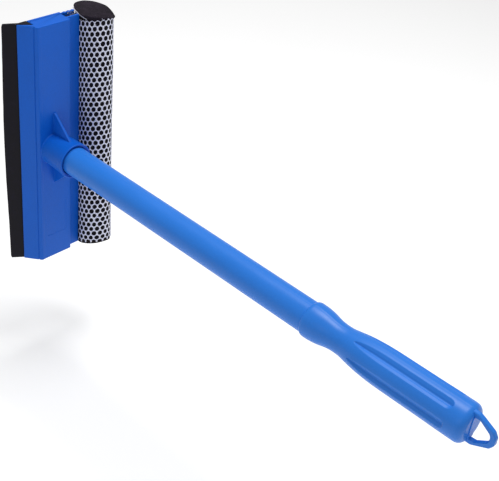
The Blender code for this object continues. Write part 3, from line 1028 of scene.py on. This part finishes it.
# ---------------------------------------------------------------- pad


@dataclass(frozen=True)
class Track:
    """A closed line round the pad, seen along Z: a row for each point of its place, normal and swell."""

    u: Array
    rows: Array

    @property
    def length(self) -> float:
        """The whole way round."""
        return float(self.u[-1])

    def read(self, u: Array) -> Array:
        """Places, normals and swells at distances along the line, as (..., 5)."""
        u = np.mod(u, self.length)
        return np.stack([np.interp(u, self.u, self.rows[:, k]) for k in range(5)], -1)


@dataclass
class PadForm:
    """The foam pad's surface, which the foam and the netting both follow.

    Seen along Z the roll is a tilted egg, longer and a little squarer behind:
    x = a * sign(cos t) * |cos t|^(2/n) and y = b * sign(sin t) * |sin t|^(2/n), with its own a and n in
    front and behind. A thin tail goes from it into the clamp. The roll leans, so towards its front a point
    stands higher by a slant times its distance past a line.
    """

    centre: Pair = (14.1, 38.1)
    front_depth: float = 15.6
    back_depth: float = 20.0
    half_width: float = 12.1
    tilt: float = 8.0
    front_power: float = 2.0
    back_power: float = 2.25
    tail_front: float = 7.9
    tail_back: float = 4.6
    tail_floor: float = 16.4
    tail_half_length: float = 101.0
    top: float = 102.3
    low: float = -101.2
    lean_from: Pair = (12.0, 37.5)
    stretch: float = 0.0002
    ends: tuple[Pair, ...] = (
        (-101.6, 1.1), (-101.0, 1.3), (-96.0, 1.3), (-80.0, 1.0), (-40.0, 0.4), (0.0, 0.0), (60.0, -0.4),
        (92.0, -0.7), (98.5, -0.7), (100.0, -0.1), (101.3, 0.9), (102.0, 1.3), (102.3, 1.2))
    count: int = 720

    def __post_init__(self) -> None:
        """Works out the two lines once: round the closed roll, and round the roll and its tail."""
        angle = np.arange(1600) * TURN / 1600 - math.pi / 2
        across, up = np.cos(angle), np.sin(angle)
        front = across > 0
        power = np.where(front, self.front_power, self.back_power)
        depth = np.where(front, self.front_depth, self.back_depth)
        local = np.stack([depth * np.sign(across) * np.abs(across) ** (2 / power),
                          self.half_width * np.sign(up) * np.abs(up) ** (2 / power)], -1)
        cos, sin = math.cos(math.radians(self.tilt)), math.sin(math.radians(self.tilt))
        roll = np.stack([self.centre[0] + local[:, 0] * cos + local[:, 1] * sin,
                         self.centre[1] - local[:, 0] * sin + local[:, 1] * cos], -1)
        self.roll = self.track(roll, np.ones(len(roll)))
        under = ((roll[:, 1] < self.centre[1]) & (roll[:, 0] > self.tail_back)
                 & (roll[:, 0] < self.tail_front))
        last = int(np.flatnonzero(under).min())
        order = np.roll(roll, -int(np.flatnonzero(under).max()) - 1, 0)[: len(roll) - int(under.sum())]
        mouth = (self.tail_front, order[0, 1])
        tail = spread(rounded([(self.tail_back, roll[last, 1], 0.0), (self.tail_back, self.tail_floor, 0.9),
                               (self.tail_front, self.tail_floor, 0.9), (*mouth, 0.0)]), 0.2)
        tail = tail[: int(np.linalg.norm(tail - np.array(mouth), axis=1).argmin())]
        side = np.linalg.norm(np.diff(order, axis=0), axis=1)
        self.roll_end = float(side.sum())
        along = np.concatenate([[0.0], np.cumsum(side)])
        grown = eased(np.minimum(along, self.roll_end - along), 0.0, 9.0)
        self.sleeve = self.track(np.vstack([order, tail]), np.concatenate([grown, np.zeros(len(tail))]))

    def track(self, line: Array, swell: Array) -> Track:
        """Spaces a closed line's points evenly and softens its corners over about a millimetre.

        Args:
            line: (n, 2) points, anticlockwise.
            swell: how much each point swells.

        Returns:
            The line.
        """
        side = np.linalg.norm(np.roll(line, -1, 0) - line, axis=1)
        measure = np.concatenate([[0.0], np.cumsum(side)])
        closed = np.column_stack([np.vstack([line, line[:1]]), np.append(swell, swell[0])])
        u = np.arange(self.count) * measure[-1] / self.count
        even = np.stack([np.interp(u, measure, closed[:, k]) for k in range(3)], -1)
        soft = sum(np.roll(even, shift, 0) for shift in range(-3, 4)) / 7
        rows = np.column_stack([soft[:, :2], outward(soft[:, :2]), soft[:, 2]])
        return Track(np.append(u, measure[-1]), np.vstack([rows, rows[:1]]))

    def lean(self, flat: Array) -> Array:
        """How far places lie past the line where the roll's lean starts, less as they round the far side.

        With the soft step s(a) = (a + sqrt(a^2 + 9)) / 2 it is s(x - x0) - 0.8 * s(y - y0).

        Args:
            flat: (..., 2) places.

        Returns:
            The lean of each place.
        """
        past = flat - np.array(self.lean_from)
        soft = 0.5 * (past + np.sqrt(past ** 2 + 9.0))
        return soft[..., 0] - 0.8 * soft[..., 1]

    def place(self, track: Track, u: Array, z: Array, lift: Array | float, slant: Array | float) -> Array:
        """Reads the surface.

        The line's point at u moves along its normal by the ends' curve at z times its swell, plus lift. Its
        height is z + slant * lean + stretch * (100^2 - z^2): the pad is stretched more at its lower half.

        Args:
            track: the line that u runs along.
            u: distances along it, in millimetres.
            z: heights, of the same shape.
            lift: distance above the surface.
            slant: rise for each millimetre of lean.

        Returns:
            Places, with one more axis of three.
        """
        row = track.read(u)
        swell = row[..., 4]
        out = curve_through(z, self.ends) + 0.1 * waves(z, 130.0, 4, 3) + 0.1 * waves(u * 2 + z, 90.0, 3, 4)
        flat = row[..., :2] + row[..., 2:4] * (out * swell + lift)[..., None]
        height = z + (slant * self.lean(flat) + self.stretch * (1.0e4 - z ** 2)) * swell
        return np.concatenate([flat, height[..., None]], -1)


@dataclass
class HexNet:
    """Where the netting's holes lie on the pad: rows along Z, each shifted by half a pitch."""

    pitch: float = 4.28
    row: float = 4.191
    first: float = -94.0
    rows: int = 46
    slants: tuple[Pair, ...] = (
        (-102.0, 0.35), (-98.0, 0.29), (-94.0, 0.235), (-85.0, 0.24), (-40.0, 0.25), (40.0, 0.26),
        (100.0, 0.26))

    def shift(self, number: Array) -> Array:
        """How far a row's holes are moved along the outline."""
        return np.where(number % 2 == 1, self.pitch / 2, 0.0)

    def slant(self, z: Array) -> Array:
        """The rows' rise for each millimetre of lean."""
        return curve_through(z, self.slants)


@dataclass
class FoamPad:
    """The black foam roll, which bulges a little through each hole of the netting."""

    form: PadForm
    net: HexNet
    step_round: float = 0.8
    step_along: float = 0.85
    bulge: float = 0.08
    slant_top: float = 0.06
    droop: float = 0.3
    droop_from: float = 36.0
    tail_end: float = 31.5

    def roll(self) -> Shell:
        """The roll.

        The lift at (u, z) is bulge * (1 + cos of the row wave * cos of the hole wave) / 2 on the stretch
        that the netting covers. The cut ends have a soft rim, and the upper one is a little uneven.

        Returns:
            The shell.
        """
        form, net, track = self.form, self.net, self.form.roll
        columns = int(track.length / self.step_round)
        z = np.linspace(form.low, form.top, int((form.top - form.low) / self.step_along))
        grid_u, grid_z = np.meshgrid(np.arange(columns) * track.length / columns, z)
        slant = net.slant(grid_z) + (self.slant_top - net.slant(grid_z)) * eased(grid_z, 60.0, form.top)
        base = track.read(grid_u)[..., :2]
        net_z = grid_z + (slant - net.slant(grid_z)) * form.lean(base)
        dome = np.cos((net_z - net.first) * math.pi / net.row) * np.cos(grid_u * TURN / net.pitch)
        covered = eased(net_z, net.first - 5.0, net.first - 3.0) * (1 - eased(net_z, 95.0, 97.0))
        lift = self.bulge * (0.5 + 0.5 * dome) * covered
        lift += curve_through(net_z, form.ends) - curve_through(grid_z, form.ends)
        points = form.place(track, grid_u, grid_z, lift, slant)
        points[..., 2] += 0.25 * waves(grid_u, 40.0, 5, 13) * eased(grid_z, form.top - 4.0, form.top)
        sunk = np.clip(base[..., 1] - self.droop_from, 0.0, None) * eased(base[..., 0], 8.0, 26.0)
        points[..., 2] -= self.droop * sunk * eased(grid_z, 88.0, form.top)
        middle = points.mean(1, keepdims=True)
        lower = points[:1] + (middle[:1] - points[:1]) * 0.03 - np.array([0.0, 0.0, 0.15])
        upper = points[-1:] + (middle[-1:] - points[-1:]) * 0.025 + np.array([0.0, 0.0, 0.2])
        return grid_shell(np.concatenate([lower, points, upper]))

    def tail(self) -> Shell:
        """The flat strip of foam that is pinched in the clamp, sunk a little into the roll.

        Returns:
            The shell.
        """
        form = self.form
        half, radii = form.tail_half_length, (0.9, 0.9, 0.5, 0.5)
        outline = oblong((form.tail_back, form.tail_floor), (form.tail_front, self.tail_end), radii)
        return carried(spread(outline, 1.5), -half, half - 0.9, 0.5, 4.0, 3)

    def build(self, finish: Material) -> Piece:
        """Builds and dresses the foam.

        Args:
            finish: its foam.

        Returns:
            The piece, which replaces the CAD's foam.
        """
        piece = mesh_piece("foam_roll", self.roll(), finish)
        shaped(piece, [(Join.ADD, self.tail())])
        smoothed(piece, 55.0, False)
        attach(piece, "root")
        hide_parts("foam_pad")
        return piece


@dataclass
class Netting:
    """The knitted hexagonal netting round the foam, its two edges held in the clamp."""

    form: PadForm
    net: HexNet
    hole_half: Pair = (1.63, 2.03)
    strand: float = 0.26
    clearance: float = 0.2
    lead: float = 8.5

    def cells(self, rows: Array) -> tuple[Array, Array]:
        """Centres of the cells of some rows, as distances along the sleeve's line and heights.

        Args:
            rows: the rows' numbers.

        Returns:
            Distances and heights.
        """
        net, high = self.net, self.form.roll_end + self.lead
        columns = np.arange(math.ceil(-self.lead / net.pitch), math.floor(high / net.pitch) + 1)
        number, column = np.meshgrid(rows, columns, indexing="ij")
        u = (column * net.pitch + net.shift(number)).ravel()
        z = (net.first + number * net.row).ravel()
        return u[u < high], z[u < high]

    def rings(self, u: Array, z: Array, span: slice, seed: int) -> tuple[Array, Array]:
        """Flat places of every cell's rings: strand line, dome, hole edge and strand line again.

        Args:
            u: distances of the centres.
            z: heights of the centres.
            span: the part of a hexagon's twelve points that is used.
            seed: seed of the holes' sizes.

        Returns:
            Distances and heights, each (cells, 4, points).
        """
        half, tall, low = self.net.pitch / 2, self.net.row * 2 / 3, self.net.row / 3
        ring = np.array([(half, -low), (half, low), (0.0, tall), (-half, low), (-half, -low), (0.0, -tall)])
        ring = np.stack([ring, (ring + np.roll(ring, -1, 0)) / 2], 1).reshape(-1, 2)[span]
        angle = np.arctan2(ring[:, 1] / self.hole_half[1], ring[:, 0] / self.hole_half[0])
        size = 1 + 0.035 * np.random.default_rng(seed).standard_normal((u.size, 1))
        oval = np.stack([self.hole_half[0] * np.cos(angle), self.hole_half[1] * np.sin(angle)], -1)
        hole = oval[None] * size[..., None]
        outer = np.broadcast_to(ring, hole.shape)
        rings = np.stack([outer, outer + (hole - outer) * 0.6, hole, outer], 1)
        return u[:, None, None] + rings[..., 0], z[:, None, None] + rings[..., 1]

    def border_walls(self, numbers: Array, middle: Array) -> Array:
        """Faces that close the netting's own border, where a cell has no neighbour.

        A side of a cell is on the border when no other cell's side has the same middle.

        Args:
            numbers: (sides, 4) point numbers: upper start, upper end, lower end and lower start.
            middle: (sides, 2) flat places of the sides' middles.

        Returns:
            An (n, 4) array of point numbers.
        """
        keys = np.floor(middle * 20 + 0.37).astype(np.int64)
        _, inverse, counts = np.unique(keys, axis=0, return_inverse=True, return_counts=True)
        return numbers[counts[inverse.ravel()] == 1]

    def shell(self) -> Shell:
        """The knitted surface.

        Each cell is a hexagon with an oval hole. Its rings run from the strands' middle line over a domed
        top to the hole's edge and back below, so a strand is a closed flattened tube. The lowest row is cut
        below the middle of its holes.

        Returns:
            The shell.
        """
        net, form = self.net, self.form
        raised = np.array([self.strand * 2, self.strand * 1.75, self.strand, 0.03]) + self.clearance
        points, faces, cloth, sides, middles, shift = [], [], [], [], [], 0
        for first, stop, used, seed in ((0, net.rows, 12, 11), (-1, 0, 9, 12)):
            flat_u, flat_z = self.rings(*self.cells(np.arange(first, stop)), slice(0, used), seed)
            cells, _, count = flat_u.shape
            closed = count == 12
            u = flat_u + (0.2 * waves(flat_z, 70.0, 3, 21) + 0.1 * waves(flat_u + flat_z, 23.0, 3, 22))
            z = flat_z + 0.25 * waves(flat_u, 60.0, 3, 23)
            lift = np.broadcast_to(raised[None, :, None], flat_u.shape)
            points.append(form.place(form.sleeve, u, z, lift, net.slant(z)).reshape(-1, 3))
            cloth.append(np.stack([flat_u, flat_z], -1).reshape(-1, 2))
            start = shift + np.arange(cells)[:, None, None] * 4 * count
            faces.append((lattice(4, count, closed)[None] + start).reshape(-1, 4))
            if not closed:
                feet = np.arange(4)[None, :] * count + np.array([[0], [count - 1]])
                faces.append((feet[None] + start).reshape(-1, 4))
            here = np.arange(count if closed else count - 1)
            after = (here + 1) % count
            walls = np.stack([after, here, 3 * count + here, 3 * count + after], -1)
            sides.append((walls[None] + start).reshape(-1, 4))
            middles.append(np.stack([(flat[:, 0, here] + flat[:, 0, after]).ravel()
                                     for flat in (flat_u, flat_z)], -1))
            shift += cells * 4 * count
        faces.append(self.border_walls(np.vstack(sides), np.vstack(middles)))
        return Shell(np.vstack(points), np.vstack(faces).tolist(), np.vstack(cloth))

    def build(self, finish: Material) -> Piece:
        """Builds and dresses the netting.

        Args:
            finish: its yarn.

        Returns:
            The piece, which replaces the CAD's plain sleeve.
        """
        piece = mesh_piece("hex_netting", self.shell(), finish, weld=0.02)
        smoothed(piece, 75.0, False)
        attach(piece, "root")
        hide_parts("net_sleeve")
        return piece


@dataclass
class LooseYarn:
    """Cut yarn ends at the netting's upper edge and in the clamp, and the hem thread across the clamp."""

    form: PadForm
    net: HexNet
    radius: float = 0.2
    sides: int = 6
    steps: int = 12
    short_ends: int = 11
    frays: tuple[float, ...] = (0.25, 0.262, 0.30, 0.312)
    hem_line: tuple[Pair, ...] = ((-13.0, 102.0), (-4.0, 101.8), (-1.0, 100.9), (2.0, 99.5), (5.5, 98.3))

    def strands(self) -> tuple[Array, Array]:
        """Centre lines of the loose strands and how thick each is against the radius.

        Returns:
            Lines as (strands, steps, 3), and shares as (strands, steps).
        """
        draw = np.random.default_rng(31)
        form, span, short, frays = self.form, self.form.roll_end, self.short_ends, len(self.frays)
        around = np.concatenate([np.linspace(0.03, 0.92, short) + draw.uniform(-0.02, 0.02, short),
                                 self.frays]) * span
        deep = np.linspace(1.0, 8.0, 6)
        u = np.concatenate([around, -deep, span + deep])
        held = u.size - around.size
        top = self.net.first + (self.net.rows - 1) * self.net.row + 2.0
        z = np.repeat([top, 100.6], [around.size, held])
        slant = np.repeat([float(self.net.slant(top)), 0.0], [around.size, held])
        reach = np.concatenate([draw.uniform(0.5, 1.1, short), draw.uniform(1.3, 2.2, frays),
                                draw.uniform(0.9, 1.5, held)])
        lean_u = draw.uniform(-1.0, 1.0, u.size) * reach * np.where(reach > 1.6, 1.3, 0.6)
        inward = np.concatenate([draw.uniform(0.0, 0.3, short), draw.uniform(0.2, 1.6, frays),
                                 draw.uniform(-0.3, 0.4, held)])
        start = form.place(form.sleeve, u, z, 0.45, slant)
        end = form.place(form.sleeve, u + lean_u, z, 0.6 - inward, slant)
        end[:, 2] = start[:, 2] + reach
        t = np.linspace(0.0, 1.0, self.steps)
        sag = draw.uniform(-0.3, 0.3, start.shape)
        line = (start[:, None] + (end - start)[:, None] * t[None, :, None]
                + sag[:, None] * (4 * t * (1 - t))[None, :, None])
        return line, np.broadcast_to(1 - 0.65 * t, line.shape[:2])

    def hem(self) -> tuple[Array, Array]:
        """The thread along the netting's edge across the clamp, with a few crimps, and its thickness.

        Returns:
            A line as (1, steps, 3), and its shares as (1, steps).
        """
        t = np.linspace(0.0, 1.0, 60)
        u = self.hem_line[0][0] + (self.hem_line[-1][0] - self.hem_line[0][0]) * t
        z = curve_through(u, self.hem_line) + 0.12 * np.sin(t * 55 + 1)
        line = self.form.place(self.form.roll, u, z, 0.3 + 0.08 * np.sin(t * 70), np.full(t.size, 0.2))
        return line[None], np.full((1, t.size), 1.7)

    def tubes(self, line: Array, thick: Array) -> list[Shell]:
        """Round tubes along centre lines.

        A ring stands square to its line: centre + radius * thick * (across * cos a + third * sin a).

        Args:
            line: (strands, steps, 3) centre lines.
            thick: (strands, steps) shares of the radius.

        Returns:
            A shell for each tube.
        """
        tangent = np.gradient(line, axis=1)
        tangent /= np.linalg.norm(tangent, axis=2)[..., None]
        across = np.cross(tangent, np.array([0.31, 0.35, 0.88]))
        across /= np.linalg.norm(across, axis=2)[..., None]
        third = np.cross(tangent, across)
        angle = np.arange(self.sides) * TURN / self.sides
        ring = (across[:, :, None] * np.cos(angle)[None, None, :, None]
                + third[:, :, None] * np.sin(angle)[None, None, :, None])
        points = line[:, :, None] + ring * self.radius * thick[:, :, None, None]
        t = np.arange(line.shape[1]) * 0.5
        over = np.arange(len(line))[:, None, None] * 3.0 + angle[None, None, :]
        cloth = np.stack(np.broadcast_arrays(over, t[None, :, None]), -1)
        return [grid_shell(*pair) for pair in zip(points, cloth)]

    def build(self, finish: Material) -> Piece:
        """Builds and dresses the strands as one piece.

        Args:
            finish: their yarn.

        Returns:
            The piece.
        """
        shell = merged(self.tubes(*self.strands()) + self.tubes(*self.hem()))
        piece = mesh_piece("loose_yarn_ends", shell, finish)
        smoothed(piece, 60.0, False)
        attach(piece, "root")
        return piece


# ---------------------------------------------------------------- handle


@dataclass
class Handle:
    """The blow-moulded handle: tube, stepped collar, waist, fluted grip and hanging loop."""

    spigot: float = 6.5
    spigot_chamfer: float = 0.35
    tube_radius: float = 11.05
    step: float = 274.5
    end_face: float = 397.2
    end_round: float = 5.0
    grip: float = 13.2
    sides: int = 240
    profile: tuple[Pair, ...] = (
        (274.5, 11.06), (275.0, 11.75), (275.9, 12.2), (277.4, 12.38), (280.2, 12.33), (284.2, 12.02),
        (288.2, 11.42), (292.2, 10.5), (296.2, 9.87), (300.2, 9.65), (304.2, 9.77), (308.2, 10.4),
        (312.2, 11.05), (316.2, 11.65), (320.2, 12.1), (324.2, 12.45), (328.2, 12.7), (332.2, 12.88),
        (338.2, 13.0), (360.2, 13.05), (372.2, 13.1), (380.2, 13.2), (392.2, 13.2))
    inside: tuple[Pair, ...] = (
        (6.5, 9.45), (268.0, 9.45), (280.0, 9.2), (292.0, 8.0), (308.0, 8.0), (316.0, 9.0), (325.0, 9.9),
        (386.0, 9.9), (391.0, 8.8), (394.0, 6.0))
    runs: tuple[tuple[float, float, int], ...] = (
        (60.0, 273.0, 12), (274.2, 274.49, 2), (274.5, 279.0, 14), (280.5, 311.5, 24), (312.8, 322.0, 22),
        (324.0, 381.0, 24), (381.6, 385.6, 16), (387.0, 392.0, 4))
    flutes: int = 6
    flute_start: float = 312.8
    flute_end: float = 385.2
    flute_half: float = 14.3
    flute_floor: float = 2.2
    flute_depth: float = 1.7
    seam_height: float = 0.13
    seam_half: float = 0.5
    loop_half: float = 1.7
    loop_outer: tuple[Triple, ...] = (
        (391.0, -12.0, 0.0), (399.3, -12.0, 3.0), (410.6, -6.3, 2.6), (412.9, -2.6, 2.0))
    loop_inner: tuple[Triple, ...] = (
        (391.0, -8.3, 0.0), (401.2, -8.3, 1.8), (408.4, -3.2, 1.8), (409.2, -1.2, 1.0))

    def radius(self, x: Array) -> Array:
        """The radius without flutes: tube, then the grip's curve, then a quarter circle to the end face.

        Args:
            x: places along the handle.

        Returns:
            The radius at each place.
        """
        corner = self.end_face - self.end_round
        turn = np.sqrt(np.clip(self.end_round ** 2 - np.clip(x - corner, 0.0, None) ** 2, 0.0, None))
        grip = np.where(x <= corner, curve_through(x, self.profile), self.grip - self.end_round + turn)
        return np.where(x <= self.step, self.tube_radius, grip)

    def flute(self, x: Array, angle: Array) -> Array:
        """How deep the flutes are at a place.

        The opening o grows as a quarter ellipse from the pointed end and closes as one at the round end.
        Across a flute, the depth is full on a narrow floor and falls in a straight wall to a soft rim.

        Args:
            x: places along the handle.
            angle: angles round it.

        Returns:
            The depth below the round surface.
        """
        entry = np.clip((x - self.flute_start) / 24.0, 0.0, 1.0)
        leave = np.clip((self.flute_end - x) / 3.4, 0.0, 1.0)
        opening = np.sqrt(1 - (1 - entry) ** 2) * np.sqrt(1 - (1 - leave) ** 2)
        pitch = 360.0 / self.flutes
        off = np.abs((np.degrees(angle) + pitch / 2) % pitch - pitch / 2)
        half = np.maximum(self.flute_half * opening, 0.05)
        across = np.clip((half - off) / np.maximum(half - self.flute_floor * opening, 0.02), 0.0, 1.0)
        wall = across + 0.12 * np.sin(TURN * across) / TURN * 2
        return self.flute_depth * opening ** 0.8 * wall

    def seam(self, x: Array, angle: Array) -> Array:
        """The parting line's low ridge, on the two sides that face along Z.

        Args:
            x: places along the handle.
            angle: angles round it.

        Returns:
            The ridge's height.
        """
        off = np.abs(np.abs(np.degrees(angle) % 360.0 - 180.0) - 90.0)
        away = np.radians(off) * self.radius(x)
        return self.seam_height * np.clip(1 - away / self.seam_half, 0.0, 1.0) * (x < self.end_face - 0.05)

    def stations(self) -> Array:
        """Places along the handle, closer together where its shape changes faster.

        Returns:
            The places in rising order.
        """
        turn = np.linspace(0.0, math.pi / 2, 9)[1:]
        return np.concatenate([[self.spigot, self.spigot + 0.4, 39.0, 41.0],
                               *(np.linspace(*run) for run in self.runs),
                               self.end_face - self.end_round + self.end_round * np.sin(turn)])

    def shell(self) -> Shell:
        """The hollow body: the outer surface from the end face back to the spigot, and the inside.

        Returns:
            The shell.
        """
        angle = np.arange(self.sides) * TURN / self.sides
        grid_x, grid_a = np.meshgrid(self.stations(), angle, indexing="ij")
        reach = self.radius(grid_x) - self.flute(grid_x, grid_a) + self.seam(grid_x, grid_a)
        reach[0] -= self.spigot_chamfer
        face = np.array([[0.35], [0.7]]) * reach[-1]
        inner = np.repeat(np.array(self.inside)[:, :, None], self.sides, 2)
        x = np.vstack([np.full(face.shape, self.end_face), grid_x[::-1], inner[:, 0]])
        radius = np.vstack([face, reach[::-1], inner[:, 1]])
        rings = np.stack([x, radius * np.cos(angle), radius * np.sin(angle)], -1)
        return poled(rings, (self.end_face, 0.0, 0.0), (self.inside[-1][0], 0.0, 0.0))

    def loop(self) -> Shell:
        """The hanging loop: a bar with rounded edges carried round a blunt arrow, its legs in the grip.

        The bar's section at station t is a loop between the inner and the outer curve, with a thin flash
        line on the middle of both sides. The other half of a curve mirrors the first.

        Returns:
            The shell.
        """
        lines = []
        for side in (self.loop_outer, self.loop_inner):
            mirrored = [(x, -y, radius) for x, y, radius in side[::-1]]
            lines.append(paced(spread(rounded([*side, *mirrored], 8), 1.0), np.linspace(0.0, 1.0, 90)))
        out_line, in_line = lines
        half, edge = self.loop_half, self.loop_half - 0.5
        section = np.array([(0.0, -edge), (0.14, -half), (0.86, -half), (1.0, -edge), (1.0, -0.15),
                            (1.02, 0.0), (1.0, 0.15), (1.0, edge), (0.86, half), (0.14, half), (0.0, edge),
                            (0.0, 0.14), (-0.09, 0.0), (0.0, -0.14)])
        flat = in_line[:, None] + (out_line - in_line)[:, None] * section[None, :, :1]
        y = np.broadcast_to(section[None, :, 1], flat.shape[:2])
        return grid_shell(np.stack([flat[..., 0], y, flat[..., 1]], -1))

    def pinch(self) -> Shell:
        """The low flat boss that the mould's pinch leaves on the end face between the loop's legs.

        Returns:
            The shell.
        """
        height, grow = np.array([-1.0, 0.35, 0.55]), np.array([0.0, 0.0, -0.2])
        boss = oblong((-2.9, -8.6), (2.9, 8.6), (1.2,) * 4)
        return stacked(boss, self.end_face + height, grow, 0)

    def build(self, finish: Material) -> Piece:
        """Builds and dresses the piece.

        Args:
            finish: its plastic.

        Returns:
            The piece, which replaces the CAD's handle.
        """
        piece = mesh_piece("blow_moulded_handle", self.shell(), finish)
        shaped(piece, [(Join.ADD, self.pinch()), (Join.ADD, self.loop())])
        smoothed(piece, 38.0)
        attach(piece, "root")
        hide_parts("handle")
        return piece


# ---------------------------------------------------------------- studio


@dataclass
class Studio:
    """Camera, soft lights, white surroundings and a plain pale floor."""

    heading: float = 39.5774
    dip: float = 35.2156
    roll: float = 7.2078
    eye: Triple = (0.55238, -0.40529, 0.39892)
    sensor: float = 36.0
    lens: float = 72.105
    floor_height: float = -0.19
    floor_reach: float = 60.0
    surround: float = 0.38

    def camera(self) -> None:
        """Places the scene's camera from its heading, dip and roll."""
        heading, dip, roll = (math.radians(v) for v in (self.heading, self.dip, self.roll))
        level = Vector((math.cos(heading), math.sin(heading), 0.0))
        ahead = Vector((-level.y * math.cos(dip), level.x * math.cos(dip), -math.sin(dip)))
        upright = level.cross(ahead)
        right = math.cos(roll) * level + math.sin(roll) * upright
        up = math.cos(roll) * upright - math.sin(roll) * level
        camera = bpy.data.objects.new("camera", bpy.data.cameras.new("camera"))
        bpy.context.scene.collection.objects.link(camera)
        axes = Matrix((right, up, -ahead)).transposed().to_4x4()
        camera.matrix_world = Matrix.Translation(self.eye) @ axes
        camera.data.sensor_width = self.sensor
        camera.data.lens = self.lens
        bpy.context.scene.camera = camera

    def area(self, name: str, place: Triple, aim: Triple, size: Pair, power: float) -> None:
        """Hangs a soft white rectangular light that faces a point.

        Args:
            name: the light's name.
            place: where it hangs.
            aim: the point that it faces.
            size: its width and height, in metres.
            power: its power in watts.
        """
        light = bpy.data.objects.new(name, bpy.data.lights.new(name, "AREA"))
        bpy.context.scene.collection.objects.link(light)
        light.data.shape = "RECTANGLE"
        light.data.size, light.data.size_y = size
        light.data.energy = power
        light.location = place
        light.rotation_mode = "QUATERNION"
        light.rotation_quaternion = (Vector(aim) - Vector(place)).to_track_quat("-Z", "Y")

    def build(self, finish: Material) -> None:
        """Sets up the camera, the lights, the surroundings and the floor.

        Args:
            finish: the floor's material.
        """
        self.camera()
        world = bpy.data.worlds.new("white_room")
        world.use_nodes = True
        sky = world.node_tree.nodes["Background"]
        sky.inputs["Color"].default_value = (1.0, 1.0, 1.0, 1.0)
        sky.inputs["Strength"].default_value = self.surround
        bpy.context.scene.world = world
        bpy.context.scene.view_settings.view_transform = "Standard"
        self.area("overhead", (0.15, 0.25, 1.1), (0.18, 0.0, 0.0), (0.7, 0.5), 10.5)
        self.area("front", (0.5, -1.2, 0.7), (0.15, 0.0, 0.0), (0.8, 0.6), 1.2)
        corners = np.array([(-1, -1), (1, -1), (1, 1), (-1, 1)]) * self.floor_reach
        points = np.concatenate([corners, np.full((4, 1), self.floor_height)], 1) / MM
        floor = mesh_piece("floor", Shell(points, [[0, 1, 2, 3]]), finish)


# ---------------------------------------------------------------- the whole


@dataclass
class Squeegee:
    """The whole object, built piece by piece."""

    finishes: Finishes = field(default_factory=Finishes)

    def build(self) -> None:
        """Builds every piece and reports it."""
        head, handle = self.finishes.head.make(), self.finishes.handle.make()
        yarn = self.finishes.yarn.make()
        form, net = PadForm(), HexNet()
        makers = [
            (HeadFront(), head), (HeadBack(), head), (RubberBlade(), self.finishes.rubber.make()),
            (FoamPad(form, net), self.finishes.foam.make()), (Netting(form, net), yarn),
            (LooseYarn(form, net), yarn), (Handle(), handle)]
        for maker, finish in makers:
            piece = maker.build(finish)
            log.info("%s: %d faces", piece.name, len(piece.data.polygons))


def main() -> None:
    """Builds the object and its studio, and reports each piece."""
    logging.basicConfig(level=logging.INFO, format="%(name)s: %(message)s")
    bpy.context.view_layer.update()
    Squeegee().build()
    Studio().build(Finishes().floor.make())


if __name__ == "__main__":
    main()
